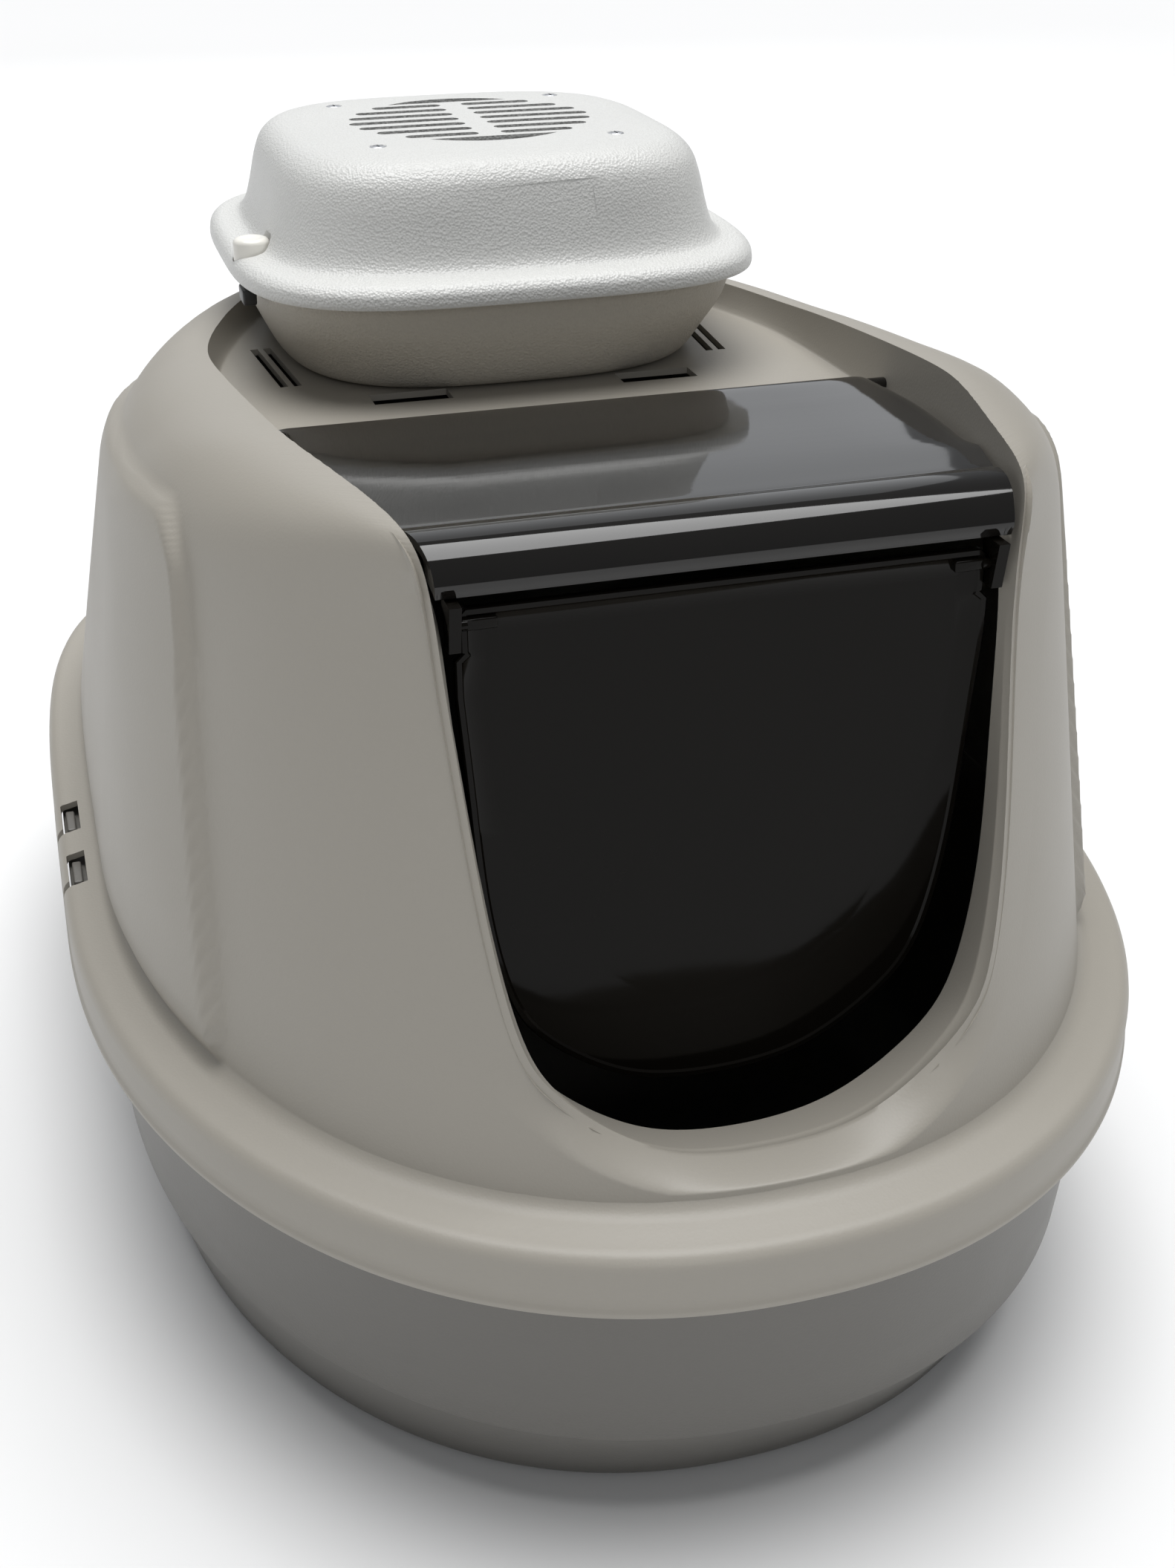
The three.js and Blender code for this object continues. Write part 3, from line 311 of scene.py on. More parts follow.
@dataclass(frozen=True)
class PaleFloor:
    """A plain pale floor with the faintest unevenness."""

    name: str
    colour: tuple[float, float, float]

    def make(self) -> bpy.types.Material:
        """Build the material."""
        bench = ShaderBench(self.name)
        cloud = bench.noise(1.5, 2.0)
        shade = tuple(c * 0.985 for c in self.colour)
        return bench.finish({"Base Color": bench.blend(cloud, shade, self.colour), "Roughness": 0.75})


@dataclass
class Finishes:
    """Every finish on the box, made once."""

    hood: bpy.types.Material = field(init=False)
    pan: bpy.types.Material = field(init=False)
    smoked: bpy.types.Material = field(init=False)
    door: bpy.types.Material = field(init=False)
    black: bpy.types.Material = field(init=False)
    unit_light: bpy.types.Material = field(init=False)
    unit_taupe: bpy.types.Material = field(init=False)
    button: bpy.types.Material = field(init=False)
    steel: bpy.types.Material = field(init=False)
    foam: bpy.types.Material = field(init=False)
    cord: bpy.types.Material = field(init=False)
    brass: bpy.types.Material = field(init=False)

    def __post_init__(self) -> None:
        """Build all the materials."""
        self.hood = MouldedPlastic("hood_plastic", (0.34, 0.318, 0.278), 0.46, Grade.SATIN, tint=0.03).make()
        self.pan = MouldedPlastic("pan_plastic", (0.150, 0.143, 0.130), 0.42, Grade.SATIN, tint=0.05).make()
        self.smoked = SmokedPlastic("smoked_plastic", (0.010, 0.009, 0.008)).make()
        self.door = SmokedPlastic("door_plastic", (0.006, 0.005, 0.0038), 0.06, 0.12).make()
        self.black = MouldedPlastic("black_plastic", (0.014, 0.014, 0.014), 0.42, Grade.SATIN).make()
        self.unit_light = MouldedPlastic("unit_light_plastic", (0.68, 0.68, 0.66), 0.36, Grade.GRAINED,
                                         grain_per_metre=900.0, tint=0.07).make()
        self.unit_taupe = MouldedPlastic("unit_taupe_plastic", (0.50, 0.47, 0.415), 0.5, Grade.GRAINED,
                                         grain_per_metre=900.0, tint=0.05).make()
        self.button = MouldedPlastic("button_plastic", (0.85, 0.83, 0.77), 0.3, Grade.SMOOTH,
                                     tint=0.02, coat=0.3).make()
        self.steel = PlatedSteel("screw_steel", (0.62, 0.63, 0.65)).make()
        self.foam = OpenFoam("filter_foam", (0.012, 0.012, 0.012)).make()
        self.cord = MouldedPlastic("cord_rubber", (0.013, 0.013, 0.013), 0.5, Grade.SMOOTH).make()
        self.brass = PlatedSteel("blade_brass", (0.75, 0.62, 0.38), 0.3).make()


# ------------------------------------------------------------------ mesh building
def make_object(name: str, points: Iterable[Sequence[float]], faces: Iterable[Sequence[int]],
                material: bpy.types.Material | None, crease: float = 35.0) -> bpy.types.Object:
    """Make a mesh object from millimetre points.

    Args:
        name: the piece's name.
        points: corners in millimetres.
        faces: corner indices of each face.
        material: the piece's finish, or None for a cutting tool.
        crease: edges that turn more than this many degrees stay sharp.

    Returns:
        The linked object, at the origin.
    """
    mesh = bpy.data.meshes.new(name)
    mesh.from_pydata([tuple(float(v) * MM for v in p) for p in points], [], [tuple(f) for f in faces])
    mesh.validate()
    made = bpy.data.objects.new(name, mesh)
    bpy.context.scene.collection.objects.link(made)
    tidy_mesh(made)
    shade(made, crease)
    if material is not None:
        mesh.materials.append(material)
    return made


def tidy_mesh(made: bpy.types.Object, near: float = 0.001) -> None:
    """Merge corners nearer than so many millimetres and turn the faces outwards."""
    work = bmesh.new()
    work.from_mesh(made.data)
    bmesh.ops.remove_doubles(work, verts=work.verts, dist=near * MM)
    bmesh.ops.recalc_face_normals(work, faces=work.faces)
    work.to_mesh(made.data)
    work.free()


def shade(made: bpy.types.Object, crease: float) -> None:
    """Shade smooth, with edges sharper than the crease kept sharp."""
    made.data.shade_smooth()
    made.data.set_sharp_from_angle(angle=math.radians(crease))


def ring_faces(rings: int, count: int, closed: bool = True) -> list[tuple[int, int, int, int]]:
    """Quads between neighbouring rings of equal count.

    Args:
        rings: how many rings there are.
        count: points in each ring.
        closed: whether each ring runs round to its start.

    Returns:
        The faces.
    """
    faces = []
    for r in range(rings - 1):
        for i in range(count if closed else count - 1):
            after = (i + 1) % count
            faces.append((r * count + i, r * count + after, (r + 1) * count + after, (r + 1) * count + i))
    return faces


def loft(name: str, rings: Sequence[Array], material: bpy.types.Material | None, caps: bool = True,
         crease: float = 35.0) -> bpy.types.Object:
    """Skin a stack of rings.

    Args:
        name: the piece's name.
        rings: arrays of points, all of one length.
        material: the finish.
        caps: whether the first and last rings are closed with a face.
        crease: the sharp-edge angle in degrees.

    Returns:
        The object.
    """
    count = len(rings[0])
    faces: list[tuple[int, ...]] = list(ring_faces(len(rings), count))
    if caps:
        faces.append(tuple(reversed(range(count))))
        faces.append(tuple(range((len(rings) - 1) * count, len(rings) * count)))
    return make_object(name, np.concatenate(rings), faces, material, crease)


def bake(made: bpy.types.Object) -> bpy.types.Object:
    """Turn an object's live modifiers into its mesh."""
    graph = bpy.context.evaluated_depsgraph_get()
    result = bpy.data.meshes.new_from_object(made.evaluated_get(graph), depsgraph=graph)
    made.modifiers.clear()
    made.data = result
    return made


def thicken(made: bpy.types.Object, thickness: float) -> bpy.types.Object:
    """Give a skin a wall on its inner side, in millimetres."""
    wall = made.modifiers.new("wall", "SOLIDIFY")
    wall.thickness = thickness * MM
    wall.offset = -1
    wall.use_even_offset = False
    wall.use_rim = True
    return bake(made)


def soften(made: bpy.types.Object, width: float, segments: int = 3, angle: float = 30.0) -> bpy.types.Object:
    """Round an object's edges by a width in millimetres."""
    round_over = made.modifiers.new("edges", "BEVEL")
    round_over.width = width * MM
    round_over.segments = segments
    round_over.limit_method = "ANGLE"
    round_over.angle_limit = math.radians(angle)
    bake(made)
    shade(made, 40.0)
    return made


def cut(made: bpy.types.Object, tools: Sequence[bpy.types.Object], crease: float = 32.0) -> bpy.types.Object:
    """Take the tools' shapes away from an object, and delete the tools."""
    joined = join(tools, "cutting_tools")
    saw = made.modifiers.new("cuts", "BOOLEAN")
    saw.operation = "DIFFERENCE"
    saw.solver = "EXACT"
    saw.use_self = True
    saw.object = joined
    bake(made)
    bpy.data.objects.remove(joined)
    shade(made, crease)
    return made


def join(parts: Sequence[bpy.types.Object], name: str) -> bpy.types.Object:
    """Make one object of several, keeping their finishes in order."""
    work = bmesh.new()
    materials: list[bpy.types.Material] = []
    for part in parts:
        first = len(work.faces)
        work.from_mesh(part.data)
        work.faces.ensure_lookup_table()
        own = [m for m in part.data.materials if m is not None]
        for material in own:
            if material not in materials:
                materials.append(material)
        if own:
            for face in work.faces[first:]:
                face.material_index = materials.index(own[min(face.material_index, len(own) - 1)])
    mesh = bpy.data.meshes.new(name)
    work.to_mesh(mesh)
    work.free()
    for material in materials:
        mesh.materials.append(material)
    made = bpy.data.objects.new(name, mesh)
    bpy.context.scene.collection.objects.link(made)
    for part in parts:
        bpy.data.objects.remove(part)
    return made


def block(name: str, size: Sequence[float], middle: Sequence[float], material: bpy.types.Material | None,
          turn: float = 0.0, rounding: float = 0.0) -> bpy.types.Object:
    """A box with rounded edges.

    Args:
        name: the piece's name.
        size: its three sides in millimetres.
        middle: its middle in millimetres.
        material: the finish.
        turn: degrees about Z.
        rounding: edge radius in millimetres.

    Returns:
        The object.
    """
    work = bmesh.new()
    bmesh.ops.create_cube(work, size=1.0)
    place = Matrix.Translation(Vector(middle)) @ Matrix.Rotation(math.radians(turn), 4, "Z")
    work.transform(place @ Matrix.Diagonal((*size, 1.0)))
    points = [v.co.copy() for v in work.verts]
    faces = [[v.index for v in f.verts] for f in work.faces]
    work.free()
    made = make_object(name, points, faces, material)
    return soften(made, rounding) if rounding else made


def turned(name: str, profile: Sequence[tuple[float, float]], centre: Sequence[float],
           material: bpy.types.Material | None, axis: str = "Z", sides: int = 48,
           crease: float = 35.0) -> bpy.types.Object:
    """A turned piece.

    Args:
        name: the piece's name.
        profile: (radius, height) pairs from one end to the other; zero radius closes an end.
        centre: the point that height 0 stands on.
        material: the finish.
        axis: the axis it is turned about, X, Y or Z.
        sides: how many flats go round.
        crease: the sharp-edge angle in degrees.

    Returns:
        The object.
    """
    angles = np.linspace(0, 2 * math.pi, sides, endpoint=False)
    rings = []
    for radius, height in profile:
        flat = np.stack([radius * np.cos(angles), radius * np.sin(angles), np.full(sides, height)], axis=1)
        if axis == "X":
            flat = flat[:, [2, 0, 1]]
        elif axis == "Y":
            flat = flat[:, [1, 2, 0]]
        rings.append(flat + np.asarray(centre))
    return loft(name, rings, material, caps=False, crease=crease)


# ------------------------------------------------------------------ geometry nodes
class CopyPattern:
    """A geometry node tree that sets copies of the object's own mesh on a grid or a line."""

    def __init__(self, name: str, grid: bool) -> None:
        """Build the tree, for a two-by-two grid or a line."""
        self.tree = bpy.data.node_groups.new(name, "GeometryNodeTree")
        self.grid = grid
        face = self.tree.interface
        face.new_socket("Geometry", in_out="OUTPUT", socket_type="NodeSocketGeometry")
        face.new_socket("Geometry", in_out="INPUT", socket_type="NodeSocketGeometry")
        face.new_socket("Count", in_out="INPUT", socket_type="NodeSocketInt")
        face.new_socket("Step", in_out="INPUT", socket_type="NodeSocketVector")
        face.new_socket("Start", in_out="INPUT", socket_type="NodeSocketVector")
        face.new_socket("Finish", in_out="INPUT", socket_type="NodeSocketMaterial")
        self._wire()

    def _wire(self) -> None:
        """Join the nodes up."""
        nodes, links = self.tree.nodes, self.tree.links
        given = nodes.new("NodeGroupInput")
        result = nodes.new("NodeGroupOutput")
        if self.grid:
            split = nodes.new("ShaderNodeSeparateXYZ")
            points = nodes.new("GeometryNodeMeshGrid")
            links.new(given.outputs["Step"], split.inputs[0])
            links.new(split.outputs["X"], points.inputs["Size X"])
            links.new(split.outputs["Y"], points.inputs["Size Y"])
            links.new(given.outputs["Count"], points.inputs["Vertices X"])
            links.new(given.outputs["Count"], points.inputs["Vertices Y"])
            place = nodes.new("GeometryNodeSetPosition")
            links.new(points.outputs["Mesh"], place.inputs["Geometry"])
            links.new(given.outputs["Start"], place.inputs["Offset"])
            source = place.outputs["Geometry"]
        else:
            line = nodes.new("GeometryNodeMeshLine")
            links.new(given.outputs["Count"], line.inputs["Count"])
            links.new(given.outputs["Start"], line.inputs["Start Location"])
            links.new(given.outputs["Step"], line.inputs["Offset"])
            source = line.outputs["Mesh"]
        copies = nodes.new("GeometryNodeInstanceOnPoints")
        real = nodes.new("GeometryNodeRealizeInstances")
        dress = nodes.new("GeometryNodeSetMaterial")
        links.new(source, copies.inputs["Points"])
        links.new(given.outputs["Geometry"], copies.inputs["Instance"])
        links.new(copies.outputs["Instances"], real.inputs["Geometry"])
        links.new(real.outputs["Geometry"], dress.inputs["Geometry"])
        links.new(given.outputs["Finish"], dress.inputs["Material"])
        links.new(dress.outputs["Geometry"], result.inputs["Geometry"])

    def apply(self, made: bpy.types.Object, count: int, step: Sequence[float], start: Sequence[float],
              finish: bpy.types.Material | None) -> bpy.types.Object:
        """Repeat an object's mesh and bake the result.

        Args:
            made: the object, whose mesh is one copy standing at the origin.
            count: copies along the line, or along each side of the grid.
            step: the step between copies, or the grid's two sides, in millimetres.
            start: the first copy's place, or the grid's middle, in millimetres.
            finish: the copies' material.

        Returns:
            The same object, now a plain mesh.
        """
        values = {
            "Count": count,
            "Step": tuple(v * MM for v in step),
            "Start": tuple(v * MM for v in start),
            "Finish": finish,
        }
        modifier = made.modifiers.new("copies", "NODES")
        modifier.node_group = self.tree
        for item in self.tree.interface.items_tree:
            if item.in_out == "INPUT" and item.name in values and values[item.name] is not None:
                modifier[item.identifier] = values[item.name]
        bake(made)
        shade(made, 40.0)
        return made


# ------------------------------------------------------------------ the box's plan
def smooth(value: Array) -> Array:
    """Ease from 0 to 1."""
    held = np.clip(value, 0.0, 1.0)
    return held * held * (3 - 2 * held)


def through(values: Sequence[float], t: Array, ends: tuple[float, float] | None = None) -> Array:
    """A smooth curve through evenly spaced values.

    Args:
        values: the values.
        t: where to read the curve, 0 to 1.
        ends: centres of the point reflection past each end, or None to mirror there.

    Returns:
        The curve's values.
    """
    given = np.asarray(values, dtype=float)
    if ends is None:
        padded = np.concatenate([[given[1]], given, [given[-2]]])
    else:
        padded = np.concatenate([[2 * ends[0] - given[1]], given, [2 * ends[1] - given[-2]]])
    place = np.minimum(np.asarray(t) * (len(given) - 1), len(given) - 1 - 1e-9)
    i = np.floor(place).astype(int)
    u = place - i
    a, b, c, d = padded[i], padded[i + 1], padded[i + 2], padded[i + 3]
    return b + 0.5 * u * (c - a + u * (2 * a - 5 * b + 4 * c - d + u * (3 * (b - c) + d - a)))


@dataclass
class BoxPlan:
    """The egg-shaped outline that pan and hood share, and the stations round its right half."""

    width: float = 454.0
    length: float = 671.0
    widest_y: float = -42.5
    power_front: float = 2.15
    power_back: float = 4.2
    stations: int = 240
    panel_station: float = 0.51

    @property
    def front_y(self) -> float:
        """The front of the flange."""
        return -self.length / 2

    def steps(self) -> Array:
        """Places along the right half, from the front centre to the back centre, closer by the panel's edge."""
        fine = np.linspace(0.0, 1.0, 2001)
        weight = 1.0 + 4.0 * np.exp(-(((fine - self.panel_station) / 0.07) ** 2))
        total = np.concatenate([[0.0], np.cumsum((weight[1:] + weight[:-1]) / 2)])
        return np.interp(np.linspace(0.0, total[-1], self.stations + 1), total, fine)

    def foot_angle(self, t: Array) -> Array:
        """Plan angle, in radians, at the foot of the wall."""
        degrees = [-90, -78.7, -67.2, -57.5, -50.4, -44.4, -40, -36.2, -32.5, -28.4, -24.4, -18.6, -11.8,
                   -6, 0, 2.7, 8.4, 17.8, 33.3, 47.6, 74.3, 90]
        return np.radians(through(degrees, t, (-90, 90)))

    def point(self, theta: Array, side_inset: float | Array, end_inset: float | Array, z: float | Array,
              power_back: float | Array | None = None) -> Array:
        """Points of the outline, drawn in from the flange's edge.

        Args:
            theta: plan angles, -90 degrees at the front and 90 at the back.
            side_inset: how far in at the sides.
            end_inset: how far in at the front and the back.
            z: height.
            power_back: squareness of the back, or None for the flange's own.

        Returns:
            An array of points.
        """
        s, c = np.sin(theta), np.maximum(0.0, np.cos(theta))
        back = self.power_back if power_back is None else power_back
        power = np.where(s < 0, self.power_front, back)
        depth = np.where(s < 0, self.widest_y - self.front_y, self.length / 2 - self.widest_y) - end_inset
        x = (self.width / 2 - side_inset) * c ** (2 / power)
        y = self.widest_y + np.sign(s) * depth * np.abs(s) ** (2 / power)
        return np.stack([x, y, np.broadcast_to(z, x.shape)], axis=1)

    def whole(self, half: Array) -> Array:
        """A full ring from the right half."""
        right = half.copy()
        right[0, 0] = 0
        right[-1, 0] = 0
        left = right[1:-1][::-1] * np.array([-1, 1, 1])
        return np.concatenate([right, left])

    def ring(self, side_inset: float, end_inset: float, z: float) -> Array:
        """A full ring at a height."""
        return self.whole(self.point(self.foot_angle(self.steps()), side_inset, end_inset, z))


@dataclass
class LatchRow:
    """The two upright lugs and their windows on each side."""

    places: tuple[float, float] = (25.0, -22.5)
    length: float = 27.0
    width: float = 8.0
    slot: float = 5.0
    clearance: float = 2.0
    side_inset: float = 7.8


# ------------------------------------------------------------------ litter pan
@dataclass
class LitterPan:
    """The open pan: two tapering stages with a step, an inward base edge and a rim with lugs."""

    plan: BoxPlan
    latches: LatchRow
    wall: float = 3.0
    floor: float = 3.0
    step_z: float = 46.0
    step: float = 4.0
    base_side: float = 29.0
    base_end: float = 42.0
    top_inset: float = 10.0
    step_inset: float = 17.0
    rim_inset: float = 4.4
    rim_z: float = 141.2
    rim_height: float = 3.0

    def build(self, finishes: Finishes) -> bpy.types.Object:
        """Make the pan.

        Args:
            finishes: the box's materials.

        Returns:
            The pan's object.
        """
        plan = self.plan
        rings = []
        for turn in np.radians([0, 22, 45, 68, 90]):
            back = 7 * (1 - math.sin(turn))
            rings.append(plan.ring(self.base_side + back, self.base_end + back, 7 * (1 - math.cos(turn))))
        low = (self.base_side, self.base_end, 7.0)
        high = (self.step_inset + self.step, self.step_inset + self.step, self.step_z - 1.0)
        for share in (0.3, 0.65, 1.0):
            rings.append(plan.ring(*(a + (b - a) * share for a, b in zip(low, high))))
        rings.append(plan.ring(self.step_inset + self.step - 0.4, self.step_inset + self.step - 0.4, self.step_z + 0.2))
        rings.append(plan.ring(self.step_inset + 0.8, self.step_inset + 0.8, self.step_z + 1.2))
        rings.append(plan.ring(self.step_inset, self.step_inset, self.step_z + 2.6))
        for share in (0.25, 0.5, 0.75, 1.0):
            inset = self.step_inset + (self.top_inset - self.step_inset) * share
            rings.append(plan.ring(inset, inset, self.step_z + 2.6 + (self.rim_z - 3 - self.step_z - 2.6) * share))
        rings.append(plan.ring(self.rim_inset, self.rim_inset, self.rim_z - self.rim_height))
        rings.append(plan.ring(self.rim_inset, self.rim_inset, self.rim_z - 0.6))
        rings.append(plan.ring(self.rim_inset + 0.6, self.rim_inset + 0.6, self.rim_z))
        inner = self.top_inset + self.wall
        rings.append(plan.ring(inner - 0.6, inner - 0.6, self.rim_z))
        rings.append(plan.ring(inner, inner, self.rim_z - 0.8))
        inner = self.step_inset + self.step + self.wall
        rings.append(plan.ring(inner, inner, self.step_z))
        rings.append(plan.ring(self.base_side + self.wall, self.base_end + self.wall, self.floor + 8))
        rings.append(plan.ring(self.base_side + self.wall + 2, self.base_end + self.wall + 2, self.floor + 2))
        rings.append(plan.ring(self.base_side + self.wall + 7, self.base_end + self.wall + 7, self.floor))
        bowl = loft("pan_bowl", rings, finishes.pan, crease=50.0)
        pieces = [bowl, *self.lugs(finishes)]
        pan = join(pieces, "pan_shell")
        shade(pan, 50.0)
        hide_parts("litter_pan")
        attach(pan, "pan_body")
        return pan

    def lugs(self, finishes: Finishes) -> list[bpy.types.Object]:
        """The upright lugs that the hood's windows drop over."""
        made = []
        for side in (-1, 1):
            for y in self.latches.places:
                x = side * (self.plan.width / 2 - self.latches.side_inset)
                size = (self.latches.width - 2 * self.latches.clearance,
                        self.latches.length - 2 * self.latches.clearance - self.latches.slot, 6.0)
                place = (x, y + self.latches.slot / 2, self.rim_z + 1.0)
                made.append(block("pan_lug", size, place, finishes.pan, rounding=0.8))
        return made


# ------------------------------------------------------------------ hood
@dataclass
class Hood:
    """The hood: flange and skirt, drafted wall with proud side panels, raised rim, deck and doorway."""

    plan: BoxPlan
    latches: LatchRow
    skirt_bottom: float = 123.0
    skirt_height: float = 20.0
    flange: float = 18.0
    wall: float = 2.8
    draft_side: float = 0.126
    draft_front: float = 0.22
    draft_back: float = 0.443
    panel_proud: float = 5.0
    panel_front_y: float = -169.0
    panel_corner: float = 26.0
    panel_step: float = 4.5
    panel_rake: float = 0.28
    panel_top_z: float = 338.0
    panel_top_slope: float = -0.11
    deck_z: float = 340.0
    deck_front_y: float = -78.0
    rim_half_width: float = 136.0
    rim_back_y: float = 213.0
    doorway_half_width: float = 98.0
    sill_z: float = 146.0
    cut_depth: float = 20.0
    vent_size: tuple[float, float] = (3.5, 62.0)
    vent_pitch: float = 6.0
    vent_lean: float = 4.3
    notch_size: tuple[float, float] = (34.0, 14.0)
    notch_x: float = 55.0
    filter_slot: tuple[float, float] = (7.0, 80.0)
    filter_slot_pitch: float = 16.0
    filter_slots: int = 7

    @property
    def skirt_top(self) -> float:
        """Top of the upright skirt."""
        return self.skirt_bottom + self.skirt_height

    @property
    def foot_z(self) -> float:
        """Foot of the wall, on the flange."""
        return self.skirt_top + 11.0

    def doorway(self, share: float, back: float, rise: float) -> tuple[float, float, float]:
        """A point by the doorway: share of its half width, distance behind the box's front, height over the sill."""
        return (self.doorway_half_width * share, self.plan.front_y + back, self.sill_z + rise)

    def visor_edge(self, share: float, along: float, rise: float) -> tuple[float, float, float]:
        """A point beside the visor: share of the rim's half width, share of the way back to the deck."""
        y = self.plan.front_y + (self.deck_front_y - self.plan.front_y) * along
        return (self.rim_half_width * share, y, self.deck_z + rise)

    def rim(self, share: float, along: float, rise: float) -> tuple[float, float, float]:
        """A point beside the deck: share of the rim's half width, share of the way to the rim's back."""
        y = self.deck_front_y + (self.rim_back_y - self.deck_front_y) * along
        return (self.rim_half_width * share, y, self.deck_z + rise)

    def crest(self) -> list[tuple[float, float, float]]:
        """The top of the bead round the doorway and of the raised rim behind it."""
        d, v, r = self.doorway, self.visor_edge, self.rim
        return [d(0, 41, 11), d(0.316, 41.5, 14), d(0.56, 44.5, 26), d(0.755, 47.5, 43.5), d(0.867, 53.5, 60),
                d(0.939, 65.5, 99), d(0.98, 79.5, 143), d(1.01, 90.5, 179), d(1.03, 94.5, 204),
                v(0.761, 0.386, 25), v(0.787, 0.441, 31.5), v(0.838, 0.565, 33), v(0.919, 0.74, 33),
                v(0.956, 0.876, 31), r(0.985, 0.124, 24), r(1, 0.337, 17), r(0.985, 0.467, 13),
                r(0.926, 0.591, 12), r(0.779, 0.777, 11), r(0.574, 0.904, 10), r(0.294, 0.979, 10), r(0, 1, 10)]

    def inner_foot(self) -> list[tuple[float, float, float]]:
        """The foot of the rim's inner side: by the bead, under the visor's edge, then on the deck."""
        d, v, r = self.doorway, self.visor_edge, self.rim
        return [d(0, 47, 8), d(0.306, 47.5, 10.5), d(0.541, 50.5, 21), d(0.73, 53, 39), d(0.842, 58.5, 57),
                d(0.923, 69.5, 97), d(0.967, 82.5, 141), d(1, 93.5, 178), d(1.02, 98.5, 201),
                v(0.754, 0.413, 7), v(0.776, 0.46, 8), v(0.827, 0.581, 9), v(0.901, 0.74, 7.5),
                v(0.934, 0.876, 5.5), r(0.963, 0.113, 3), r(0.978, 0.33, 0.5), r(0.956, 0.457, 0),
                r(0.89, 0.577, 0), r(0.743, 0.759, 0), r(0.544, 0.883, 0), r(0.272, 0.955, 0), r(0, 0.976, 0)]

    def hole(self) -> list[tuple[float, float, float]]:
        """The edge of the hole: the doorway, the ledge under the visor and the deck's front."""
        d, v, r = self.doorway, self.visor_edge, self.rim
        return [d(0, 67.5, 0), d(0.27, 68, 2.5), d(0.48, 69, 11), d(0.694, 70.5, 27), d(0.837, 73.5, 47),
                d(0.93, 80.5, 89), d(0.96, 88.5, 134), d(0.985, 95.5, 172), d(0.995, 101, 192),
                v(0.717, 0.425, 3), v(0.721, 0.472, 7), v(0.765, 0.588, 8), v(0.838, 0.74, 6.5),
                v(0.868, 0.876, 4.5), r(0.868, 0, 0.5), r(0.7, 0, 0), r(0.55, 0, 0), r(0.4, 0, 0),
                r(0.28, 0, 0), r(0.18, 0, 0), r(0.09, 0, 0), r(0, 0, 0)]

    def along(self, table: Sequence[tuple[float, float, float]], t: Array) -> Array:
        """Points of a station table's smooth curve, eased a little more so that no station shows."""
        columns = np.asarray(table)
        total = np.zeros((len(t), 3))
        for shift, share in ((-0.022, 0.25), (0.0, 0.5), (0.022, 0.25)):
            place = np.abs(t + shift)
            side = np.where((t + shift < 0) | (place > 1), -1.0, 1.0)
            place = np.where(place > 1, 2 - place, place)
            x = through(columns[:, 0], place, (0.0, 0.0)) * side
            total += share * np.stack([x, through(columns[:, 1], place), through(columns[:, 2], place)], axis=1)
        return total

    def shoulder_angle(self, t: Array) -> Array:
        """Plan angle, in radians, where the wall starts to round over."""
        degrees = [-90, -80.1, -72.1, -65.8, -61.5, -57.2, -53.3, -49.4, -45.3, -40.1, -34.5, -26, -16.3,
                   -8, 0, 9.6, 17.8, 27.4, 43.6, 59.5, 73.8, 90]
        return np.radians(through(degrees, t, (-90, 90)))

    def shoulder_z(self, t: Array) -> Array:
        """Height where the wall starts to round over."""
        rise = [-0.005, 0.011, 0.065, 0.15, 0.247, 0.452, 0.677, 0.849, 0.935, 0.968, 0.978, 0.973,
                0.946, 0.925, 0.903, 0.892, 0.882, 0.876, 0.871, 0.866, 0.863, 0.863]
        return self.foot_z + (self.deck_z - self.foot_z) * np.maximum(through(rise, t), 0.012)

    def raise_panel(self, place: Array) -> Array:
        """Push points that lie on a side panel outwards, with a short rounded step all round it."""
        y, z = place[:, 1], place[:, 2]
        edge = self.panel_front_y + self.panel_rake * (z - (self.foot_z + self.deck_z) / 2)
        behind = np.maximum(0.0, self.panel_corner - (y - edge))
        below = np.maximum(0.0, self.panel_corner - (self.panel_top_z + self.panel_top_slope * y - z))
        lift = smooth((self.panel_corner - np.hypot(behind, below)) / self.panel_step)
        foot = smooth((z - self.foot_z) / 10.0)
        outward = np.stack([place[:, 0], (y - self.plan.widest_y) * 0.5, np.zeros(len(z))], axis=1)
        outward /= np.maximum(np.linalg.norm(outward, axis=1, keepdims=True), 1e-9)
        return place + outward * (self.panel_proud * lift * foot)[:, None]

    def wall_points(self, theta: Array, z: Array) -> Array:
        """Points of the drafted outer wall."""
        rise = z - self.foot_z
        share = np.clip(rise / (self.deck_z - self.foot_z), 0.0, 1.0)
        back_power = self.plan.power_back + (self.plan.power_front - self.plan.power_back) * share
        inset = self.flange + 4.0
        draft = np.where(np.sin(theta) < 0, self.draft_front, self.draft_back)
        return self.plan.point(theta, inset + self.draft_side * rise, inset + draft * rise, z, back_power)

    def shoulder(self, t: Array, share: float) -> Array:
        """Points on the rounding from the wall up to the crest."""
        theta, z = self.shoulder_angle(t), self.shoulder_z(t)
        start = self.wall_points(theta, z)
        up = self.wall_points(theta, z + 1) - start
        crest = self.along(self.crest(), t)
        first = start + up * (0.6 * np.maximum(0.0, crest[:, 2] - z))[:, None]
        second = crest + (start - crest) * 0.45
        second[:, 2] = crest[:, 2]
        a, b = (1 - share) ** 3, 3 * share * (1 - share) ** 2
        c, d = 3 * share ** 2 * (1 - share), share ** 3
        return a * start + b * first + c * second + d * crest

